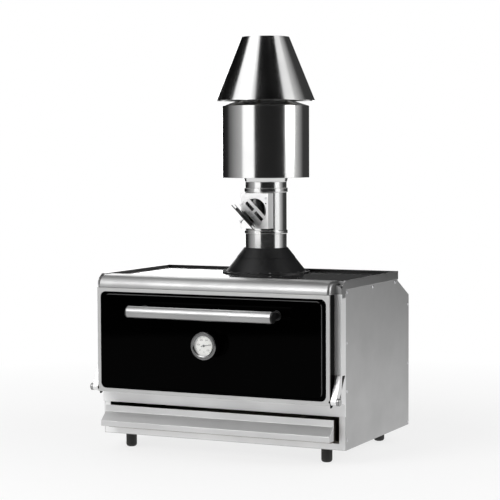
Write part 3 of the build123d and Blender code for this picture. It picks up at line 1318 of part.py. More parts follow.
export_step(damper_flap.part, "parts/damper_flap.step")

rod_end = flap_plane.from_local_coords((-LUG_PLACE - LUG_THICKNESS, 0, 0))
with BuildPart() as flap_pivot:
    with BuildSketch(Plane(origin=rod_end, x_dir=flap_plane.y_dir, z_dir=flap_plane.x_dir)):
        Circle(PIVOT_ROD_RADIUS)
    extrude(amount=2 * (LUG_PLACE + LUG_THICKNESS))
flap_pivot.part.label = "flap_pivot"
export_step(flap_pivot.part, "parts/flap_pivot.step")

# A screw with a round head on the flap's outer face trims its balance.
WEIGHT_STEM = (2.5, 12.0)
WEIGHT_HEAD = (5.5, 5.0)
with BuildPart() as flap_weight:
    with BuildSketch(flap_plane.offset(OUTER_DISC[0] + OUTER_DISC[1])):
        with Locations((6, FLAP_OFFSET)):
            Circle(WEIGHT_STEM[0])
    extrude(amount=WEIGHT_STEM[1])
    with BuildSketch(flap_plane.offset(OUTER_DISC[0] + OUTER_DISC[1] + WEIGHT_STEM[1])):
        with Locations((6, FLAP_OFFSET)):
            Circle(WEIGHT_HEAD[0])
    extrude(amount=WEIGHT_HEAD[1])
flap_weight.part.label = "flap_weight"
export_step(flap_weight.part, "parts/flap_weight.step")
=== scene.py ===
"""Charcoal grill oven: its looks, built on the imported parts.

Metres, in the same frame as the parts: X runs left to right, Y from front to back, Z up.
Run as a script, it registers its operators and calls them in order: finishes, casing, door, drawer,
flue, damper and studio.
"""

from math import cos, pi, radians, sin

import bmesh
import bpy
from bpy.props import FloatProperty, FloatVectorProperty, IntProperty, PointerProperty
from mathutils import Matrix, Vector


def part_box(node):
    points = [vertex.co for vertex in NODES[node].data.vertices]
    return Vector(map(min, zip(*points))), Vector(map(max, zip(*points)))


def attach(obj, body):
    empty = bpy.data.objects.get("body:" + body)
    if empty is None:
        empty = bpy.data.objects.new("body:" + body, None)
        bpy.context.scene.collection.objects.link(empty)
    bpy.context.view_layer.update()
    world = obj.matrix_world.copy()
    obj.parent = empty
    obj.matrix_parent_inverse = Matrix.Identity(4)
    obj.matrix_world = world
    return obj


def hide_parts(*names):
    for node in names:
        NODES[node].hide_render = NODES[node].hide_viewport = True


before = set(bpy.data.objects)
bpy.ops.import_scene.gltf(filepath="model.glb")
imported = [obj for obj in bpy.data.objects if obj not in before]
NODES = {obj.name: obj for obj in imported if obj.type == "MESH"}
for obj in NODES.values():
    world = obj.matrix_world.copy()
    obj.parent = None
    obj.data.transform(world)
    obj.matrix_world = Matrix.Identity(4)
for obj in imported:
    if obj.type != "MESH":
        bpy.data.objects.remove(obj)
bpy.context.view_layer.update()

bl_info = {
    "name": "Charcoal grill oven",
    "version": (1, 0, 0),
    "blender": (4, 5, 0),
    "location": "3D View > Sidebar > Grill oven",
    "description": "Builds the pieces, finishes and studio of a charcoal grill oven",
    "category": "Object",
}

MM = 0.001
DRUM_LOW, DRUM_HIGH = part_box("firebreak_drum")
FLUE_AXIS = (0, (DRUM_LOW.y + DRUM_HIGH.y) / 2, 0)


def linear(code):
    """The linear colour of an sRGB hex code, with full alpha."""
    channels = [int(code[i:i + 2], 16) / 255 for i in (1, 3, 5)]
    return tuple(c / 12.92 if c <= 0.04045 else ((c + 0.055) / 1.055) ** 2.4 for c in channels) + (1.0,)


def linked(name, data):
    """A new object in the scene."""
    thing = bpy.data.objects.new(name, data)
    bpy.context.scene.collection.objects.link(thing)
    return thing


def settled(carrier):
    """The plain mesh that an object evaluates to. The object itself goes."""
    bpy.context.view_layer.update()
    depsgraph = bpy.context.evaluated_depsgraph_get()
    mesh = bpy.data.meshes.new_from_object(carrier.evaluated_get(depsgraph))
    bpy.data.objects.remove(carrier)
    return mesh


# Node trees


def add(tree, kind, fields=None, inputs=None):
    """Adds a node, sets its fields, and gives its inputs values or links."""
    node = tree.nodes.new(kind)
    for field, value in (fields or {}).items():
        setattr(node, field, value)
    for key, value in (inputs or {}).items():
        socket = node.inputs[key]
        if isinstance(value, bpy.types.NodeSocket):
            tree.links.new(value, socket)
        else:
            socket.default_value = value
    return node


def cleared(holder):
    """The emptied node tree of a material or a world."""
    holder.use_nodes = True
    holder.node_tree.nodes.clear()
    return holder.node_tree


def new_tree(name, sockets):
    """A geometry tree with the named inputs, and its input node."""
    tree = bpy.data.node_groups.new(name, "GeometryNodeTree")
    tree.interface.new_socket("Geometry", in_out="INPUT", socket_type="NodeSocketGeometry")
    for label, kind, value in sockets:
        socket = tree.interface.new_socket(label, in_out="INPUT", socket_type="NodeSocket" + kind)
        if value is not None:
            socket.default_value = value
    tree.interface.new_socket("Material", in_out="INPUT", socket_type="NodeSocketMaterial")
    tree.interface.new_socket("Geometry", in_out="OUTPUT", socket_type="NodeSocketGeometry")
    return tree, add(tree, "NodeGroupInput")


def close_tree(tree, source, geometry):
    """Ends a tree: real geometry with the material of the piece."""
    real = add(tree, "GeometryNodeRealizeInstances", inputs={"Geometry": geometry})
    dressed = add(tree, "GeometryNodeSetMaterial",
                  inputs={"Geometry": real.outputs[0], "Material": source.outputs["Material"]})
    add(tree, "NodeGroupOutput", inputs={"Geometry": dressed.outputs[0]})
    return tree


def grown(name, base, tree, material, **values):
    """Runs a tree on a base mesh and returns the plain mesh that it makes."""
    carrier = linked(name, base)
    modifier = carrier.modifiers.new(name, "NODES")
    modifier.node_group = tree
    labels = {item.name: item.identifier for item in tree.interface.items_tree
              if item.item_type == "SOCKET" and item.in_out == "INPUT"}
    modifier[labels["Material"]] = material
    for label, value in values.items():
        modifier[labels[label]] = value
    return settled(carrier)


# Finishes

FINISHES = {}

# Noise mostly stays between these two values, so a pattern is spread from one to the other.
NOISE_LOW = 0.3
NOISE_HIGH = 0.7

# Spots or strokes of a finish, as lengths in millimetres along X, Y and Z.
LEVEL_STROKES = (45, 45, 0.9)
UPRIGHT_STROKES = (0.9, 0.9, 60)
FINE_GRAIN = (1.0, 1.0, 1.0)
BLASTED_GRAIN = (1.2, 1.2, 1.2)
MILL_CLOUDS = (190, 190, 150)
DUST_CLOUDS = (70, 70, 70)
SOFT_WAVES = (9, 9, 9)

# Dust makes paint this much glossier or duller, and grease gives gauge glass this roughness.
DUST_BLUR = (0.85, 1.25)
GREASE_FILM = (0.01, 0.06)

# Enamel: gloss far below that of glass, so that the door mirrors little of the room, and the share of
# the normal that points up or to the right on a pressed edge, where a painted highlight brings in the grey.
ENAMEL_GLOSS = 0.015
ENAMEL_WAVE_DEPTH = 0.004
EDGE_LEAN = 0.7
HIGHLIGHT_GREY_FROM = 0.55
HIGHLIGHT_GREY_FULL = 0.68

# Painted dark reflection: how far a face must look to the front, and how far back it must stand, in metres.
DARK_REFLECTION_FACING = (-0.7, -0.4)
DARK_REFLECTION_PLACE = (0.1, 0.2)


def shader(name, base, roughness, metallic=0.0, **constants):
    """A new finish with one main shader: its tree, that shader and the object coordinates."""
    material = bpy.data.materials.new(name)
    tree = cleared(material)
    body = add(tree, "ShaderNodeBsdfPrincipled",
               inputs={"Base Color": linear(base), "Roughness": roughness, "Metallic": metallic})
    for label, value in constants.items():
        body.inputs[label.replace("_", " ")].default_value = value
    add(tree, "ShaderNodeOutputMaterial", inputs={"Surface": body.outputs[0]})
    FINISHES[name] = material
    return tree, body, add(tree, "ShaderNodeTexCoord").outputs["Object"]


def grain(tree, place, spacing, detail=2.0):
    """Noise whose spots are as long as the three spacings, in millimetres."""
    scale = tuple(1 / (MM * length) for length in spacing)
    stretched = add(tree, "ShaderNodeMapping", {"vector_type": "POINT"}, {"Vector": place, "Scale": scale})
    return add(tree, "ShaderNodeTexNoise",
               inputs={"Vector": stretched.outputs[0], "Scale": 1.0, "Detail": detail}).outputs[0]


def relief(tree, body, place, spacing, depth, detail=2.0):
    """Noise that also gives the surface a relief of that depth in millimetres."""
    height = grain(tree, place, spacing, detail)
    raised = add(tree, "ShaderNodeBump", inputs={"Height": height, "Strength": 1.0, "Distance": depth * MM})
    tree.links.new(raised.outputs[0], body.inputs["Normal"])
    return height


def clouded(tree, body, pattern, pale, dull, keen, soft):
    """Spreads two tones over the surface by a noise pattern, and returns a roughness that goes with them."""
    middle = {"Value": pattern, "From Min": NOISE_LOW, "From Max": NOISE_HIGH}
    share = add(tree, "ShaderNodeMapRange", inputs=middle)
    toned = add(tree, "ShaderNodeMix", {"data_type": "RGBA"},
                {0: share.outputs[0], 6: linear(pale), 7: linear(dull)})
    tree.links.new(toned.outputs[2], body.inputs["Base Color"])
    return add(tree, "ShaderNodeMapRange", inputs={**middle, "To Min": keen, "To Max": soft}).outputs[0]


def brushed_steel(name, pale, dull, roughness, stroke, depth, blur=0.08):
    """Metal with brushing strokes and faint broad clouds. The strokes change the roughness by the blur."""
    tree, body, place = shader(name, pale, roughness, 1.0)
    strokes = relief(tree, body, place, stroke, depth, detail=3.0)
    clouds = grain(tree, place, MILL_CLOUDS, detail=3.0)
    base = clouded(tree, body, clouds, pale, dull, roughness - blur / 2, roughness + blur / 3)
    mixed = add(tree, "ShaderNodeMath", {"operation": "MULTIPLY_ADD"}, {0: strokes, 1: blur, 2: base})
    tree.links.new(mixed.outputs[0], body.inputs["Roughness"])


def painted_steel(name, pale, dull, roughness, grit, depth, **constants):
    """Paint, plastic or raw skin with a fine peel and a little dust in its gloss."""
    tree, body, place = shader(name, pale, roughness, **constants)
    relief(tree, body, place, (grit, grit, grit), depth)
    dust = grain(tree, place, DUST_CLOUDS, detail=4.0)
    dusty = clouded(tree, body, dust, pale, dull, roughness * DUST_BLUR[0], roughness * DUST_BLUR[1])
    tree.links.new(dusty, body.inputs["Roughness"])


def enamelled_steel(name, deep, highlight_grey, roughness):
    """Glassy enamel with a painted highlight: grey on pressed edges whose normal leans up or to the right."""
    tree, body, place = shader(name, deep, roughness, Specular_IOR_Level=ENAMEL_GLOSS)
    facing = add(tree, "ShaderNodeTexCoord").outputs["Normal"]
    lean = add(tree, "ShaderNodeSeparateXYZ", inputs={0: facing})
    steepest = add(tree, "ShaderNodeMath", {"operation": "MAXIMUM"},
                   {0: lean.outputs["X"], 1: lean.outputs["Z"]})
    half_leaning = add(tree, "ShaderNodeMath", {"operation": "PINGPONG"},
                       {0: steepest.outputs[0], 1: EDGE_LEAN})
    highlight_share = add(tree, "ShaderNodeMapRange",
                  inputs={"Value": half_leaning.outputs[0], "From Min": HIGHLIGHT_GREY_FROM,
                          "From Max": HIGHLIGHT_GREY_FULL})
    toned = add(tree, "ShaderNodeMix", {"data_type": "RGBA"},
                {0: highlight_share.outputs[0], 6: linear(deep), 7: linear(highlight_grey)})
    tree.links.new(toned.outputs[2], body.inputs["Base Color"])
    relief(tree, body, place, SOFT_WAVES, ENAMEL_WAVE_DEPTH)


def paint_dark_reflection(name, reflection_tone):
    """Paints a dark reflection on the faces of a finish that look to the front behind the flue."""
    tree = FINISHES[name].node_tree
    body = tree.nodes["Principled BSDF"]
    clean = body.inputs["Base Color"].links[0].from_socket
    coordinates = add(tree, "ShaderNodeTexCoord")
    facing = add(tree, "ShaderNodeSeparateXYZ", inputs={0: coordinates.outputs["Normal"]})
    place = add(tree, "ShaderNodeSeparateXYZ", inputs={0: coordinates.outputs["Object"]})
    front = add(tree, "ShaderNodeMapRange",
                inputs={"Value": facing.outputs["Y"], "From Min": DARK_REFLECTION_FACING[0], "From Max": DARK_REFLECTION_FACING[1],
                        "To Min": 1.0, "To Max": 0.0})
    behind = add(tree, "ShaderNodeMapRange",
                 inputs={"Value": place.outputs["Y"], "From Min": DARK_REFLECTION_PLACE[0], "From Max": DARK_REFLECTION_PLACE[1]})
    share = add(tree, "ShaderNodeMath", {"operation": "MULTIPLY"},
                {0: front.outputs[0], 1: behind.outputs[0]})
    toned = add(tree, "ShaderNodeMix", {"data_type": "RGBA"},
                {0: share.outputs[0], 6: clean, 7: linear(reflection_tone)})
    tree.links.new(toned.outputs[2], body.inputs["Base Color"])


def make_finishes(look):
    """One procedural material for each finish: tones, roughness, strokes or grit and depth in millimetres."""
    # Satin stainless sheet: short level brush strokes blur every reflection into soft greys.
    brushed_steel("satin_stainless", "#C8C8C7", "#BCBCBC", look.satin_roughness, LEVEL_STROKES, 0.010)
    # The flat front sheets are the casing sheet in a paler tone, painted light beside the dark door, and blur
    # more: one light grey with level strokes.
    brushed_steel("pale_satin_stainless", "#F0F0F0", "#E6E6E6", 0.50, LEVEL_STROKES, 0.008)
    # The rounded band over the door is the same sheet in a greyer tone, painted shade that keeps its
    # highlight a soft line.
    brushed_steel("rolled_grey_stainless", "#A2A2A2", "#989898", 0.38, LEVEL_STROKES, 0.008)
    # Drawer front sheet: a tone between the two, raised as painted light, and soft enough that its folds stay
    # light.
    brushed_steel("drawer_satin_stainless", "#D2D2D2", "#C6C6C6", 0.44, LEVEL_STROKES, 0.008)
    # Smooth rolled sheet of the trim, which mirrors the room. Its wall behind the flue gets a painted dark
    # reflection.
    brushed_steel("smooth_rolled_stainless", "#C8C8C8", "#BCBCBC", 0.27, (60, 60, 1.4), 0.006)
    paint_dark_reflection("smooth_rolled_stainless", "#242424")
    # Glass-bead blasted plate of the damper: nearly white, with no direction in its grain.
    brushed_steel("bead_blasted_stainless", "#F4F4F4", "#ECECEC", 0.5, BLASTED_GRAIN, 0.010)
    # Chrome of the gauge ring in a dark tone that is painted shade, with a bright lower edge.
    brushed_steel("smoked_chrome", "#7C7C7C", "#6C6C6C", 0.18, FINE_GRAIN, 0.003)
    # Blackened hexagon bolts: faint grey glints on a dark flange.
    brushed_steel("blackened_bolt_steel", "#565656", "#444444", 0.36, BLASTED_GRAIN, 0.010)
    # The side sheets are brushed upright and blur more, so they stay one even grey.
    brushed_steel("upright_brushed_stainless", "#BCBCBC", "#B4B4B4", 0.46, UPRIGHT_STROKES, 0.010)
    # The flat cover is bright-rolled sheet: it mirrors the flue and the room.
    brushed_steel("bright_stainless_cover", "#DEDEDE", "#D2D2D2", 0.07, (60, 1.4, 1.4), 0.004, 0.04)
    # Polished stainless tube and drum: long dark and white reflections stand upright in it.
    brushed_steel("polished_stainless", "#DCDCDB", "#D2D2D2", look.polish_roughness, (60, 60, 1.2), 0.006,
                  0.05)
    # Ground flat bar: bright, with a soft even sheen.
    brushed_steel("ground_bar_stainless", "#E8E8E8", "#DEDEDE", 0.42, (30, 30, 1.5), 0.003)
    # Drawn handle tube: a greyer tone that is painted shade for its dark reflections, with fine strokes along
    # it.
    brushed_steel("drawn_tube_stainless", "#A4A4A4", "#989898", 0.27, (60, 0.8, 0.8), 0.008)
    # Flap plate in a near-black tone: painted shade on its side that faces away from the light.
    painted_steel("smoked_steel", "#161616", "#262524", 0.42, 1.2, 0.03)
    # Inner sheet that has been hot: dull, with straw-brown clouds.
    brushed_steel("heat_dulled_stainless", "#8D8880", "#6F665B", 0.42, (40, 40, 1.5), 0.012, 0.15)
    # Zinc-bright screw steel, turned: small sharp glints.
    brushed_steel("turned_fastener_steel", "#DCDCDE", "#C4C4C6", 0.3, BLASTED_GRAIN, 0.01)
    # Turned brass bush: warm yellow with a fine lathe grain.
    brushed_steel("turned_brass", "#C7A15A", "#AD8645", 0.3, FINE_GRAIN, 0.01)
    # Heat-resistant black paint, satin, on the cone: broad soft sheen with fine grit.
    painted_steel("heatproof_black_paint", "#0D0D0E", "#161617", 0.42, 1.6, 0.05, Specular_IOR_Level=0.3)
    # Vitreous black enamel on the door: deep and glassy, with a painted grey highlight on pressed edges that
    # lean up or to the right.
    enamelled_steel("black_vitreous_enamel", "#010101", "#545454", 0.05)
    # Moulded heatproof black plastic on posts, caps and washers.
    painted_steel("moulded_black_phenolic", "#0D0D0E", "#151515", 0.32, 0.8, 0.02)
    # Black rubber feet: matt, with a dusty bloom.
    painted_steel("black_rubber", "#101010", "#1B1A19", 0.62, 1.0, 0.04)
    # White baked dial paint.
    painted_steel("baked_white_paint", "#EDEDEA", "#E2E2DE", 0.35, 0.6, 0.01)
    # Black printing ink and needle paint.
    painted_steel("matt_black_ink", "#0C0C0C", "#141414", 0.5, 0.5, 0.005)
    # Grey iron from the sand mould: coarse skin, dark and dry.
    painted_steel("sand_cast_iron", "#26241F", "#37322B", 0.72, 1.8, 0.35)
    # Mineral wool slab: tangled fibres, matt yellow-grey.
    painted_steel("mineral_wool_slab", "#8A7E5E", "#9D9272", 0.95, 2.2, 1.2)
    # Glass-fibre rope: pale yarn with darker clouds of soot.
    painted_steel("glass_fibre_yarn", "#A9A49A", "#8C867B", 0.85, 0.7, 0.15)
    # Flat gauge glass: nearly clear, with a faint film of grease that only shows in the gloss.
    tree, body, place = shader("clear_gauge_glass", "#FFFFFF", 0.02, IOR=1.45, Alpha=0.1)
    film = add(tree, "ShaderNodeMapRange",
               inputs={"Value": grain(tree, place, SOFT_WAVES), "From Min": NOISE_LOW,
                       "From Max": NOISE_HIGH, "To Min": GREASE_FILM[0], "To Max": GREASE_FILM[1]})
    tree.links.new(film.outputs[0], body.inputs["Roughness"])


CARRIED_OVER = {
    "satin_stainless": ("rear_panel", "base_panel"),
    "pale_satin_stainless": ("lower_front_frame",),
    "heat_dulled_stainless": ("chassis_frame", "firebox", "left_rack_rails", "right_rack_rails",
                              "drawer_runners", "drawer_box", "spark_baffle", "hat_struts",
                              "door_inner_panel"),
    "turned_fastener_steel": ("foot_studs", "flap_pivot", "upper_rack", "lower_rack"),
    "heatproof_black_paint": ("flue_flange",),
    "black_vitreous_enamel": ("door_shell",),
    "sand_cast_iron": ("charcoal_grate",),
    "mineral_wool_slab": ("insulation_slabs", "door_insulation"),
    "turned_brass": ("hinge_bushes",),
    "polished_stainless": ("thermometer_case", "clamp_bands"),
    "baked_white_paint": ("thermometer_dial",),
    "clear_gauge_glass": ("thermometer_lens",),
    "glass_fibre_yarn": ("door_seal",),
}


def dress(node, finish):
    """Gives a carried-over part its finish."""
    slots = NODES[node].data.materials
    slots.clear()
    slots.append(FINISHES[finish])


# Meshes

# Edges sharper than these angles break the shading or are eased, and flatter ones are dissolved.
SHADE_ANGLE = radians(35)
EASE_ANGLE = radians(28)
FLAT_ANGLE = radians(0.4)

# Points closer than this are one, in metres. The ring that carries a turned section is as small.
DOUBLES = 1e-6
CAD_DOUBLES = 2e-6

# Rounded corners of a section: their radius in mm, the steps in each, and how much of a line between
# two corners each of them may take.
SHEET_CORNER = 0.6
CORNER_STEPS = 4
CORNER_SHARE = 0.45

# Half of the thickness of print, in mm.
PRINT_HALF = 0.05


def smooth(mesh):
    """Smooth shading that breaks at sharp edges, with flat faces kept truly flat by their area."""
    mesh.shade_smooth()
    mesh.set_sharp_from_angle(angle=SHADE_ANGLE)
    carrier = linked("weighing", mesh)
    weighing = carrier.modifiers.new("weighing", "WEIGHTED_NORMAL")
    weighing.weight = 100
    weighing.keep_sharp = True
    return settled(carrier)


def place_piece(name, mesh, finish, body, nodes=()):
    """Puts a finished mesh on its body as one piece and hides the parts that it stands for."""
    mesh.materials.clear()
    mesh.materials.append(FINISHES[finish])
    mesh = smooth(mesh)
    mesh.name = name
    piece = linked(name, mesh)
    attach(piece, body)
    if nodes:
        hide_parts(*nodes)


def plain(bm, name):
    """Turns a bmesh into a mesh and frees it."""
    mesh = bpy.data.meshes.new(name)
    bm.to_mesh(mesh)
    bm.free()
    return mesh


def merged(bm, outward):
    """The mesh of a bmesh without doubles, its faces turned outwards where that is asked."""
    bmesh.ops.remove_doubles(bm, verts=bm.verts, dist=DOUBLES)
    if outward:
        bmesh.ops.recalc_face_normals(bm, faces=bm.faces)
    return plain(bm, "piece")


def eased(node, width, steps=2):
    """A copy of a part whose sharp edges are eased by a width in mm, so that they catch the light."""
    bm = bmesh.new()
    bm.from_mesh(NODES[node].data)
    bmesh.ops.remove_doubles(bm, verts=bm.verts, dist=CAD_DOUBLES)
    bmesh.ops.dissolve_limit(bm, angle_limit=FLAT_ANGLE, verts=bm.verts, edges=bm.edges)
    sharp = [edge for edge in bm.edges
             if len(edge.link_faces) == 2 and edge.calc_face_angle(0) > EASE_ANGLE]
    bmesh.ops.bevel(bm, geom=sharp, offset=width * MM, offset_type="OFFSET", segments=steps, profile=0.5,
                    affect="EDGES", clamp_overlap=True)
    return merged(bm, outward=False)


def ease_all(rows, edge):
    """Puts parts on again with eased edges. A row without a width of its own takes the user's edge."""
    for piece, node, width, steps, finish, body, slot in rows:
        place_piece(piece, eased(node, width or edge, steps), finish, body, [node])


def rounded(points, radius):
    """Rounds the corners of a closed line of two-number points."""
    path = []
    count = len(points)
    for index, corner in enumerate(points):
        here = Vector(corner)
        before = Vector(points[index - 1]) - here
        after = Vector(points[(index + 1) % count]) - here
        reach = min(radius, before.length * CORNER_SHARE, after.length * CORNER_SHARE)
        start = here + before.normalized() * reach
        end = here + after.normalized() * reach
        for step in range(CORNER_STEPS + 1):
            t = step / CORNER_STEPS
            path.append(tuple((1 - t) ** 2 * start + 2 * t * (1 - t) * here + t ** 2 * end))
    return path


def in_metres(points):
    """A section drawn in millimetres, in metres."""
    return [(r * MM, z * MM) for r, z in points]


def wall(outer, thickness):
    """The closed section of a sheet: its outside line in mm, and the same line moved inwards."""
    inner = [(r - thickness, z) for r, z in reversed(outer)]
    return in_metres(rounded(outer + inner, SHEET_CORNER))


def turned_tree():
    """Turns a section round an upright axis. The section's x is the radius and its z the height."""
    tree, source = new_tree("turned_sheet", [("Steps", "Int", 128), ("Axis", "Vector", None)])
    section = add(tree, "GeometryNodeMeshToCurve", inputs={"Mesh": source.outputs["Geometry"]})
    stood = add(tree, "GeometryNodeTransform",
                inputs={"Geometry": section.outputs[0], "Rotation": (pi / 2, 0, 0)})
    ring = add(tree, "GeometryNodeCurvePrimitiveCircle",
               inputs={"Resolution": source.outputs["Steps"], "Radius": DOUBLES})
    skin = add(tree, "GeometryNodeCurveToMesh",
               inputs={"Curve": ring.outputs[0], "Profile Curve": stood.outputs[0]})
    moved = add(tree, "GeometryNodeTransform",
                inputs={"Geometry": skin.outputs[0], "Translation": source.outputs["Axis"]})
    return close_tree(tree, source, moved.outputs[0])


def turned(name, section, finish, steps, axis):
    """A turned mesh from (radius, height) points. Unless the section starts on the axis, it is closed."""
    bm = bmesh.new()
    verts = [bm.verts.new((r, 0, z)) for r, z in section]
    pairs = list(zip(verts, verts[1:]))
    if section[0][0] > 0:
        pairs.append((verts[-1], verts[0]))
    for pair in pairs:
        bm.edges.new(pair)
    tree = bpy.data.node_groups.get("turned_sheet") or turned_tree()
    mesh = grown(name, plain(bm, "section"), tree, FINISHES[finish], Steps=steps, Axis=axis)
    bm = bmesh.new()
    bm.from_mesh(mesh)
    return merged(bm, outward=True)


def scatter_tree():
    """Puts a copy of one head on every point, turned as the point says."""
    tree, source = new_tree("scattered_heads", [("Head", "Object", None), ("Size", "Float", 1.0)])
    head = add(tree, "GeometryNodeObjectInfo", inputs={"Object": source.outputs["Head"]})
    turn = add(tree, "GeometryNodeInputNamedAttribute", {"data_type": "FLOAT_VECTOR"}, {"Name": "turn"})
    placed = add(tree, "GeometryNodeInstanceOnPoints",
                 inputs={"Points": source.outputs["Geometry"], "Instance": head.outputs["Geometry"],
                         "Rotation": turn.outputs["Attribute"], "Scale": source.outputs["Size"]})
    return close_tree(tree, source, placed.outputs[0])


def scattered(name, head, places, finish):
    """One mesh of many equal heads. A place is a point in metres and a turn in radians."""
    tree = bpy.data.node_groups.get("scattered_heads") or scatter_tree()
    spots = bpy.data.meshes.new("spots")
    spots.from_pydata([point for point, _ in places], [], [])
    turns = spots.attributes.new("turn", "FLOAT_VECTOR", "POINT")
    for index, (_, turn) in enumerate(places):
        turns.data[index].vector = turn
    model = bpy.data.objects.new("head", head)
    mesh = grown(name, spots, tree, FINISHES[finish], Head=model, Size=1.0)
    bpy.data.objects.remove(model)
    return mesh


def place_heads(name, section, steps, places, finish, nodes=()):
    """Turns a small head, foot at zero and standing up along Z, and puts it in every place on the oven."""
    head = turned("head", in_metres(section), finish, steps, (0, 0, 0))
    place_piece(name, scattered(name, head, places, finish), finish, "oven", nodes)


def joined(meshes):
    """Several meshes as one."""
    bm = bmesh.new()
    for mesh in meshes:
        bm.from_mesh(mesh)
    return plain(bm, "joined")


def block(lowest, highest):
    """A block between two corners in mm."""
    bm = bmesh.new()
    bmesh.ops.create_cube(bm, size=1)
    for vert in bm.verts:
        vert.co = Vector([(a if c < 0 else b) * MM for a, b, c in zip(lowest, highest, vert.co)])
    return merged(bm, outward=True)


def written(words, height, place):
    """Words of a height in mm as a thin flat mesh in the XZ plane, facing the front."""
    curve = bpy.data.curves.new("words", "FONT")
    curve.body = words
    curve.size = height * MM
    curve.extrude = PRINT_HALF * MM
    curve.align_x = "CENTER"
    curve.align_y = "CENTER"
    mesh = settled(linked("words", curve))
    mesh.transform(Matrix.Translation(Vector(place)) @ Matrix.Rotation(pi / 2, 4, "X"))
    return mesh


class OvenLook(bpy.types.PropertyGroup):
    """Sizes and finishes that a user may change."""

    satin_roughness: FloatProperty(
        name="Satin roughness", description="How far the brushed casing blurs what it reflects",
        default=0.34, min=0.05, max=1.0, subtype="FACTOR")
    polish_roughness: FloatProperty(
        name="Polish roughness", description="How far the polished flue blurs what it reflects",
        default=0.13, min=0.02, max=1.0, subtype="FACTOR")
    edge: FloatProperty(
        name="Edge ease", description="Width of the eased edges of the sheet parts, in millimetres",
        default=0.7, min=0.1, max=2.0)
    round_steps: IntProperty(
        name="Round steps", description="Faces round the flue", default=160, min=32, max=512)


class StudioLook(bpy.types.PropertyGroup):
    """Light and camera of the studio."""

    key_power: FloatProperty(
        name="Key light", description="Power of the front softbox", default=90, unit="POWER")
    side_power: FloatProperty(
        name="Side light", description="Power of the right softbox", default=40, unit="POWER")
    top_power: FloatProperty(
        name="Top light", description="Power of the overhead softbox", default=8, unit="POWER")
    lens: FloatProperty(
        name="Lens", description="Focal length in millimetres", default=123.43, min=10, max=400)
    camera_place: FloatVectorProperty(
        name="Camera place", description="Where the camera stands", default=(2.6077, -5.4571, 1.0653),
        subtype="TRANSLATION", unit="LENGTH")
    yaw: FloatProperty(
        name="Yaw", description="Turn of the camera from straight back, leftwards", default=0.44391,
        subtype="ANGLE")
    pitch: FloatProperty(
        name="Pitch", description="How far the camera looks down", default=0.06058, subtype="ANGLE")
    roll: FloatProperty(
        name="Roll", description="How far the camera leans", default=-0.00397, subtype="ANGLE")


# Operators


class OVEN_OT_finishes(bpy.types.Operator):
    """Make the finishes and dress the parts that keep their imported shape"""

    bl_idname = "oven.finishes"
    bl_label = "Finishes"

    def execute(self, context):
        make_finishes(context.scene.oven_look)
        for finish, nodes in CARRIED_OVER.items():
            for node in nodes:
                dress(node, finish)
        return {"FINISHED"}


# Parts that are put on again with eased edges, here and in the tables below: piece, part, width of the
# edge in mm or None for the user's, faces across the edge, finish, body and slot.
CASING_SHEETS = [
    ("left_side_panel_sheet", "left_side_panel", None, 2, "upright_brushed_stainless", "oven",
     "casing_steel"),
    ("right_side_panel_sheet", "right_side_panel", None, 2, "upright_brushed_stainless", "oven",
     "casing_steel"),
    ("top_trim_sheet", "top_trim", None, 2, "smooth_rolled_stainless", "oven", "casing_steel"),
    ("fascia_frame_sheet", "fascia_frame", None, 2, "pale_satin_stainless", "oven", "casing_steel"),
    ("front_canopy_sheet", "front_canopy", None, 2, "rolled_grey_stainless", "oven", "casing_steel"),
    ("top_cover_sheet", "top_cover", None, 2, "bright_stainless_cover", "oven", "polished_steel"),
    ("rubber_feet", "feet", 0.5, 2, "black_rubber", "oven", "black_rubber"),
]

# Side screws in mm: how far out the face of a side panel is, where they sit on it as (y, z), and half of
# their section as (radius, height).
SIDE_FACE = 463.0
SIDE_SCREWS = [(-200, 580), (34, 580), (252, 580), (-200, 411), (-200, 248), (-200, 85), (384, 491),
               (384, 277), (384, 62)]
SCREW_PROFILE = [(0, 0), (5.5, 0), (5.3, 1.2), (4, 2.1), (2.2, 2.4), (2, 1.2), (0, 1.2)]
SCREW_STEPS = 24


class OVEN_OT_casing(bpy.types.Operator):
    """Build the casing sheets with eased edges and their screws"""

    bl_idname = "oven.casing"
    bl_label = "Casing"

    def execute(self, context):
        ease_all(CASING_SHEETS, context.scene.oven_look.edge)
        self.screws()
        return {"FINISHED"}

    def screws(self):
        """Domed heads down both sides, each on the outside of its panel."""
        places = []
        for side in (-1, 1):
            for y, z in SIDE_SCREWS:
                places.append(((side * SIDE_FACE * MM, y * MM, z * MM), (0, side * pi / 2, 0)))
        place_heads("side_screw_heads", SCREW_PROFILE, SCREW_STEPS, places, "turned_fastener_steel",
                    ["side_screws"])


DOOR_PIECES = [
    ("door_rim_frame", "door_rim", 0.5, 2, "satin_stainless", "door", "casing_steel"),
    ("door_pressed_panel", "door_panel", None, 2, "black_vitreous_enamel", "door", "door_enamel"),
    ("handle_tube", "handle_bar", 0.4, 2, "drawn_tube_stainless", "door", "casing_steel"),
    ("handle_end_caps", "handle_caps", 0.6, 2, "moulded_black_phenolic", "door", "black_plastic"),
    ("handle_post_pair", "handle_posts", 0.8, 2, "moulded_black_phenolic", "door", "black_plastic"),
    ("gauge_bezel", "thermometer_bezel", 0.4, 2, "smoked_chrome", "door", "polished_steel"),
    ("gauge_needle", "needle", 0.1, 2, "matt_black_ink", "needle", "needle_black"),
    ("left_arm_bar", "left_hinge_arm", 1.2, 3, "ground_bar_stainless", "oven", "polished_steel"),
    ("right_arm_bar", "right_hinge_arm", 1.2, 3, "ground_bar_stainless", "oven", "polished_steel"),
    ("hinge_pin_heads", "hinge_pins", 0.5, 2, "drawn_tube_stainless", "oven", "polished_steel"),
]

# Black rings at the hinge pins, painted shade for the dark lines of the knuckle: section as (radius,
# height), and how far in from a pin's end each one sits, in mm.
SHADE_RING_SECTION = [(10.0, 0), (12.8, 0), (12.8, 1.3), (10.0, 1.3)]
SHADE_RING_STEPS = 32
SHADE_RING_DEPTHS = (3.5, 11.0)

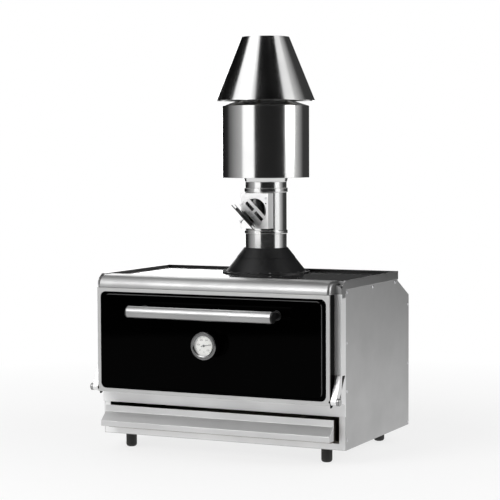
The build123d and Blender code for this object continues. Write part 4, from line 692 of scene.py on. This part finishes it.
# Dial print: where its scale starts and how far it runs, clockwise from the top, sizes and radii in mm,
# and how far it stands off its plate. A row of ticks is their length, thickness and number.
DIAL_START = radians(-135)
DIAL_SWEEP = radians(270)
DIAL_NUMBERS = ("0", "100", "200", "300", "400", "500")
DIAL_TICKS = ((2.2, 0.6, 51), (4.6, 1.1, 11))
TICK_RING = 33.0
NUMBER_RING = 21.5
NUMBER_HEIGHT = 7.5
UNIT_HEIGHT = 7.0
PRINT_PROUD = 0.06


class OVEN_OT_door(bpy.types.Operator):
    """Build the door, its handle, its thermometer and its hinges"""

    bl_idname = "oven.door"
    bl_label = "Door"

    def execute(self, context):
        ease_all(DOOR_PIECES, context.scene.oven_look.edge)
        self.dial()
        self.rings()
        return {"FINISHED"}

    def rings(self):
        """Thin black rings round the hinge pins: painted shade for the dark lines of the knuckle."""
        pin_low, pin_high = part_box("hinge_pins")
        centre = (pin_low + pin_high) / 2
        places = []
        for side in (-1, 1):
            for depth in SHADE_RING_DEPTHS:
                places.append(((side * (pin_high.x - depth * MM), centre.y, centre.z), (0, side * pi / 2, 0)))
        place_heads("hinge_washers", SHADE_RING_SECTION, SHADE_RING_STEPS, places, "moulded_black_phenolic")

    def dial(self):
        """Ticks and plain numbers, printed on the dial plate."""
        plate_low, plate_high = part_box("thermometer_dial")
        face = plate_low.y - PRINT_PROUD * MM
        centre = (plate_low.z + plate_high.z) / 2

        def spot(step, count, ring):
            turn = DIAL_START + step * DIAL_SWEEP / (count - 1)
            return (sin(turn) * ring * MM, face, centre + cos(turn) * ring * MM), (0, turn, 0)

        prints = []
        for length, thickness, count in DIAL_TICKS:
            tick = block((-thickness / 2, -PRINT_HALF, -length / 2), (thickness / 2, PRINT_HALF, length / 2))
            places = [spot(step, count, TICK_RING - length / 2) for step in range(count)]
            prints.append(scattered("dial_ticks", tick, places, "matt_black_ink"))
        for step, number in enumerate(DIAL_NUMBERS):
            prints.append(written(number, NUMBER_HEIGHT, spot(step, len(DIAL_NUMBERS), NUMBER_RING)[0]))
        prints.append(written("°C", UNIT_HEIGHT, (0, face, centre - NUMBER_RING * MM)))
        place_piece("dial_print", joined(prints), "matt_black_ink", "door")


DRAWER_SHEETS = [
    ("drawer_scoop", "drawer_front", 0.9, 3, "drawer_satin_stainless", "drawer", "casing_steel"),
]


class OVEN_OT_drawer(bpy.types.Operator):
    """Build the folded drawer front"""

    bl_idname = "oven.drawer"
    bl_label = "Drawer"

    def execute(self, context):
        ease_all(DRAWER_SHEETS, context.scene.oven_look.edge)
        return {"FINISHED"}


# Turned sheets of the flue: outside lines as (radius, height) in mm, and thicknesses in mm.
PIPE_SHEET = 1.5
HAT_SHEET = 1.7
HAT_LINE = [(178.5, 1228), (86, 1456)]
LID_NECK = [(86, 1231.5), (86, 1290)]
LOWER_PIPE_LINE = [(75, 692), (75, 756.5)]
UPPER_PIPE_LINE = [(75, 907), (75, 936.5), (76.5, 937.5), (80, 952)]
DRUM_RADIUS = 157
DRUM_BORE = 73.5
DRUM_FLOOR = 952
DRUM_CORNER = 0.7

FLUE_PIECES = [
    ("damper_pipe_shell", "damper_pipe", 0.3, 2, "polished_stainless", "oven", "polished_steel"),
    ("cone_skirt", "flue_cone", 0.5, 2, "heatproof_black_paint", "oven", "dark_steel"),
    ("cone_collar_ring", "cone_collar", 0.5, 2, "heatproof_black_paint", "oven", "dark_steel"),
]

# Flange bolts: half of their section as (radius, height) in mm, and the arc on which they stand, counted
# from +X.
BOLT_PROFILE = [(0, 0), (4.5, 0), (4.5, 2.9), (3.9, 3.5), (0, 3.5)]
BOLT_SIDES = 6
BOLT_RING = 151.5
BOLT_FOOT = 614.0
BOLT_COUNT = 17
BOLT_START = radians(150)
BOLT_STEP = radians(15)


class OVEN_OT_flue(bpy.types.Operator):
    """Turn the flue pipe, the firebreak drum and the hat"""

    bl_idname = "oven.flue"
    bl_label = "Flue"

    def execute(self, context):
        top = DRUM_HIGH.z / MM
        inside = DRUM_RADIUS - PIPE_SHEET
        floor = DRUM_FLOOR + PIPE_SHEET
        drum = [(DRUM_BORE, DRUM_FLOOR), (DRUM_RADIUS, DRUM_FLOOR), (DRUM_RADIUS, top), (inside, top),
                (inside, floor), (DRUM_BORE, floor)]
        sheets = [
            ("hat_cone", "flue_hat", wall(HAT_LINE, HAT_SHEET)),
            ("firebreak_drum_shell", "firebreak_drum", in_metres(rounded(drum, DRUM_CORNER))),
            ("firebreak_lid_cone", "firebreak_lid", wall([(DRUM_RADIUS, top)] + LID_NECK, PIPE_SHEET)),
            ("lower_pipe", "lower_flue_pipe", wall(LOWER_PIPE_LINE, PIPE_SHEET)),
            ("upper_pipe", "upper_flue_pipe", wall(UPPER_PIPE_LINE, PIPE_SHEET)),
        ]
        steps = context.scene.oven_look.round_steps
        for piece, node, section in sheets:
            mesh = turned(piece, section, "polished_stainless", steps, FLUE_AXIS)
            place_piece(piece, mesh, "polished_stainless", "oven", [node])
        ease_all(FLUE_PIECES, context.scene.oven_look.edge)
        self.bolts()
        return {"FINISHED"}

    def bolts(self):
        """Hexagon heads round the part of the flange that shows."""
        places = []
        for step in range(BOLT_COUNT):
            turn = BOLT_START + step * BOLT_STEP
            reach = BOLT_RING * MM
            foot = (cos(turn) * reach, FLUE_AXIS[1] + sin(turn) * reach, BOLT_FOOT * MM)
            places.append((foot, (0, 0, turn)))
        place_heads("flange_bolt_heads", BOLT_PROFILE, BOLT_SIDES, places, "blackened_bolt_steel",
                    ["flange_bolts"])


DAMPER_PIECES = [
    ("damper_box", "damper_housing", 0.7, 2, "bead_blasted_stainless", "oven", "polished_steel"),
    ("damper_strap", "damper_bracket", 0.4, 2, "ground_bar_stainless", "oven", "polished_steel"),
    ("damper_rivet_heads", "damper_screws", 0.3, 2, "turned_fastener_steel", "oven", "fastener_steel"),
    ("damper_flap_discs", "damper_flap", 0.4, 2, "smoked_steel", "flap", "polished_steel"),
    ("flap_weight_screw", "flap_weight", 0.5, 2, "turned_fastener_steel", "flap", "fastener_steel"),
]


class OVEN_OT_damper(bpy.types.Operator):
    """Build the draught damper on the pipe"""

    bl_idname = "oven.damper"
    bl_label = "Damper"

    def execute(self, context):
        ease_all(DAMPER_PIECES, context.scene.oven_look.edge)
        return {"FINISHED"}


# Studio cards that only gloss sees. Angles in degrees from +X, heights and distance in metres, tones
# at both ends, and strength. The upper row is what the hat's slope mirrors.
CARD_FOOT = -0.6
CARD_WAIST = 2.6
CARD_HEAD = 9.0
CARD_DISTANCE = 4.2
CARD_STEPS = 24
CARDS = [
    ("front_right_dark", -94, -12, CARD_FOOT, CARD_WAIST, "#262626", "#222222", CARD_DISTANCE, 1.0),
    ("front_right_high", -94, -12, CARD_WAIST, CARD_HEAD, "#030303", "#030303", CARD_DISTANCE, 1.0),
    ("right_white", -12, 17, CARD_FOOT, CARD_HEAD, "#FFFFFF", "#FFFFFF", CARD_DISTANCE, 1.15),
    ("right_falling", 17, 50, CARD_FOOT, CARD_HEAD, "#E0E0E0", "#404040", CARD_DISTANCE, 1.0),
    ("rear_right_dark", 50, 112, CARD_FOOT, CARD_HEAD, "#404040", "#3C3C3C", CARD_DISTANCE, 1.0),
    ("rear_white", 112, 135, CARD_FOOT, CARD_HEAD, "#FFFFFF", "#FFFFFF", CARD_DISTANCE, 2.6),
    ("rear_left_dark", 135, 177, CARD_FOOT, CARD_WAIST, "#0A0A0A", "#303030", CARD_DISTANCE, 1.0),
    ("left_grey", 177, 230, CARD_FOOT, CARD_WAIST, "#484848", "#C8C8C8", CARD_DISTANCE, 1.0),
    ("left_high_dark", 135, 202, CARD_WAIST, CARD_HEAD, "#0A0A0A", "#101010", CARD_DISTANCE, 1.0),
    ("front_left_white", 232, 264, CARD_FOOT, CARD_WAIST, "#FFFFFF", "#FFFFFF", CARD_DISTANCE, 1.45),
    ("front_high_white", 203, 258, CARD_WAIST, CARD_HEAD, "#FFFFFF", "#FFFFFF", CARD_DISTANCE, 1.45),
    ("front_low_dark", -130, -94, 0.0, 0.42, "#202020", "#202020", 4.1, 1.0),
]

# Level cards overhead: two opposite corners in metres, and their tone.
CEILING_HEIGHT = 3.6
CEILING_CARDS = [
    ("ceiling_grey", (-0.9, -1.2), (1.5, 1.3), "#707070"),
    ("ceiling_pale", (-3.0, -1.0), (-0.9, 1.3), "#D8D8D8"),
]

# Softboxes: place, target and size in metres, and the user's power.
SOFTBOXES = [
    ("front_softbox", (-1.5, -3.8, 2.6), (0, 0, 0.5), (2.4, 1.6), "key_power"),
    ("right_softbox", (3.8, 0.3, 1.9), (0, 0, 0.6), (1.8, 1.8), "side_power"),
    ("top_softbox", (-1.3, -1.6, 3.8), (0, -0.1, 0.6), (1.2, 1.2), "top_power"),
]

# How bright the room is as a light, where 1 is the white that the camera sees.
SKY_LIGHT = 0.55

# Floor: half of its side in metres, its colour, the share of plain white in it near the oven, the
# distances between which that share grows to all of it, and the glow that gloss sees on top.
FLOOR_REACH = 14.0
FLOOR_COLOUR = "#F4F4F4"
FLOOR_NEAR_WHITE = 0.72
FLOOR_NEAR = 0.9
FLOOR_FAR = 2.6
FLOOR_GLOSS = 0.9


def card_material(name, strength):
    """The glow of a card, in the tones painted on it."""
    material = bpy.data.materials.new(name)
    tree = cleared(material)
    painted = add(tree, "ShaderNodeVertexColor", {"layer_name": "tone"})
    glow = add(tree, "ShaderNodeEmission", inputs={"Color": painted.outputs[0], "Strength": strength})
    add(tree, "ShaderNodeOutputMaterial", inputs={"Surface": glow.outputs[0]})
    return material


def card(name, rows, tones, strength):
    """A card of pairs of points, one tone for each pair, that is seen in gloss only."""
    bm = bmesh.new()
    tone = bm.verts.layers.float_color.new("tone")
    columns = []
    for pair, colour in zip(rows, tones):
        column = [bm.verts.new(point) for point in pair]
        for vert in column:
            vert[tone] = colour
        columns.append(column)
    for (a, b), (c, d) in zip(columns, columns[1:]):
        bm.faces.new((a, c, d, b))
    mesh = plain(bm, name)
    mesh.materials.append(card_material(name, strength))
    panel = linked(name, mesh)
    for sight in ("camera", "diffuse", "transmission", "volume_scatter", "shadow"):
        setattr(panel, "visible_" + sight, False)


def arc_card(name, start, end, bottom, top, first, second, distance, strength):
    """An upright curved card round the oven, with a tone that changes along it."""
    rows = []
    tones = []
    for step in range(CARD_STEPS + 1):
        share = step / CARD_STEPS
        turn = radians(start + share * (end - start))
        rows.append([(distance * cos(turn), distance * sin(turn), z) for z in (bottom, top)])
        tones.append([a + share * (b - a) for a, b in zip(linear(first), linear(second))])
    card(name, rows, tones, strength)


def level_card(name, corner, opposite, tone):
    """A flat level card between two corners."""
    rows = [[(x, y, CEILING_HEIGHT) for y in (corner[1], opposite[1])] for x in (corner[0], opposite[0])]
    card(name, rows, [linear(tone)] * 2, 1.0)


class OVEN_OT_studio(bpy.types.Operator):
    """Set up the camera, the soft light, the pale floor and the reflection cards"""

    bl_idname = "oven.studio"
    bl_label = "Studio"

    def execute(self, context):
        studio = context.scene.oven_studio
        context.scene.view_settings.view_transform = "Standard"
        self.camera(context, studio)
        self.world(context)
        self.floor()
        for name, place, target, size, power in SOFTBOXES:
            self.lamp(name, place, target, size, getattr(studio, power))
        for fields in CARDS:
            arc_card(*fields)
        for fields in CEILING_CARDS:
            level_card(*fields)
        return {"FINISHED"}

    def camera(self, context, studio):
        """The camera that was fitted to the photograph."""
        forward = Vector((-sin(studio.yaw) * cos(studio.pitch), cos(studio.yaw) * cos(studio.pitch),
                          -sin(studio.pitch)))
        right = Vector((cos(studio.yaw), sin(studio.yaw), 0))
        up = right.cross(forward)
        leaned_right = right * cos(studio.roll) + up * sin(studio.roll)
        leaned_up = up * cos(studio.roll) - right * sin(studio.roll)
        data = bpy.data.cameras.new("photo_camera")
        data.lens = studio.lens
        data.sensor_width = 36
        data.clip_end = 100
        camera = linked("photo_camera", data)
        turn = Matrix((leaned_right, leaned_up, -forward)).transposed().to_4x4()
        camera.matrix_world = Matrix.Translation(Vector(studio.camera_place)) @ turn
        context.scene.camera = camera

    def lamp(self, name, place, target, size, power):
        """A softbox that looks at its target."""
        data = bpy.data.lights.new(name, "AREA")
        data.shape = "RECTANGLE"
        data.size, data.size_y = size
        data.energy = power
        lamp = linked(name, data)
        lamp.location = place
        lamp.rotation_euler = (Vector(place) - Vector(target)).to_track_quat("Z", "Y").to_euler()

    def seen(self, tree):
        """1 for rays from the camera, from gloss and through glass."""
        path = add(tree, "ShaderNodeLightPath")
        gloss = add(tree, "ShaderNodeMath", {"operation": "MAXIMUM"},
                    {0: path.outputs["Is Camera Ray"], 1: path.outputs["Is Glossy Ray"]})
        return add(tree, "ShaderNodeMath", {"operation": "MAXIMUM"},
                   {0: gloss.outputs[0], 1: path.outputs["Is Transmission Ray"]}).outputs[0]

    def world(self, context):
        """A white room that lights the oven more softly than it looks."""
        world = bpy.data.worlds.new("white_room")
        tree = cleared(world)
        strength = add(tree, "ShaderNodeMapRange", inputs={"Value": self.seen(tree), "To Min": SKY_LIGHT})
        sky = add(tree, "ShaderNodeBackground",
                  inputs={"Color": (1, 1, 1, 1), "Strength": strength.outputs[0]})
        add(tree, "ShaderNodeOutputWorld", inputs={"Surface": sky.outputs[0]})
        context.scene.world = world

    def floor(self):
        """A matt floor that keeps the oven's shadow near it and turns to plain white further out."""
        mesh = bpy.data.meshes.new("studio_floor")
        reach = FLOOR_REACH
        mesh.from_pydata([(-reach, -reach, 0), (reach, -reach, 0), (reach, reach, 0), (-reach, reach, 0)], [],
                         [(0, 1, 2, 3)])
        material = bpy.data.materials.new("pale_matt_floor")
        tree = cleared(material)
        place = add(tree, "ShaderNodeTexCoord").outputs["Object"]
        away = add(tree, "ShaderNodeVectorMath", {"operation": "LENGTH"}, {0: place}).outputs["Value"]
        fade = add(tree, "ShaderNodeMapRange",
                   inputs={"Value": away, "From Min": FLOOR_NEAR, "From Max": FLOOR_FAR,
                           "To Min": FLOOR_NEAR_WHITE})
        faded = add(tree, "ShaderNodeMath", {"operation": "MULTIPLY"},
                    {0: self.seen(tree), 1: fade.outputs[0]})
        path = add(tree, "ShaderNodeLightPath")
        share = add(tree, "ShaderNodeMath", {"operation": "MULTIPLY_ADD"},
                    {0: path.outputs["Is Glossy Ray"], 1: FLOOR_GLOSS, 2: faded.outputs[0]}).outputs[0]
        matt = add(tree, "ShaderNodeBsdfDiffuse", inputs={"Color": linear(FLOOR_COLOUR)})
        white = add(tree, "ShaderNodeEmission", inputs={"Color": (1, 1, 1, 1), "Strength": 1.0})
        mixed = add(tree, "ShaderNodeMixShader", inputs={0: share, 1: matt.outputs[0], 2: white.outputs[0]})
        add(tree, "ShaderNodeOutputMaterial", inputs={"Surface": mixed.outputs[0]})
        mesh.materials.append(material)
        linked("studio_floor", mesh)


OPERATORS = (OVEN_OT_finishes, OVEN_OT_casing, OVEN_OT_door, OVEN_OT_drawer, OVEN_OT_flue, OVEN_OT_damper,
             OVEN_OT_studio)


class OVEN_PT_panel(bpy.types.Panel):
    """Lists the operators in the order in which they run"""

    bl_idname = "OVEN_PT_panel"
    bl_label = "Grill oven"
    bl_space_type = "VIEW_3D"
    bl_region_type = "UI"
    bl_category = "Grill oven"

    def draw(self, context):
        for operator in OPERATORS:
            self.layout.operator(operator.bl_idname)
        for group in (context.scene.oven_look, context.scene.oven_studio):
            for name in group.__annotations__:
                self.layout.prop(group, name)


CLASSES = (OvenLook, StudioLook, *OPERATORS, OVEN_PT_panel)


def register():
    for cls in CLASSES:
        bpy.utils.register_class(cls)
    bpy.types.Scene.oven_look = PointerProperty(type=OvenLook)
    bpy.types.Scene.oven_studio = PointerProperty(type=StudioLook)


def unregister():
    del bpy.types.Scene.oven_studio
    del bpy.types.Scene.oven_look
    for cls in reversed(CLASSES):
        bpy.utils.unregister_class(cls)


def main():
    register()
    bpy.ops.oven.finishes()
    bpy.ops.oven.casing()
    bpy.ops.oven.door()
    bpy.ops.oven.drawer()
    bpy.ops.oven.flue()
    bpy.ops.oven.damper()
    bpy.ops.oven.studio()


if __name__ == "__main__":
    main()
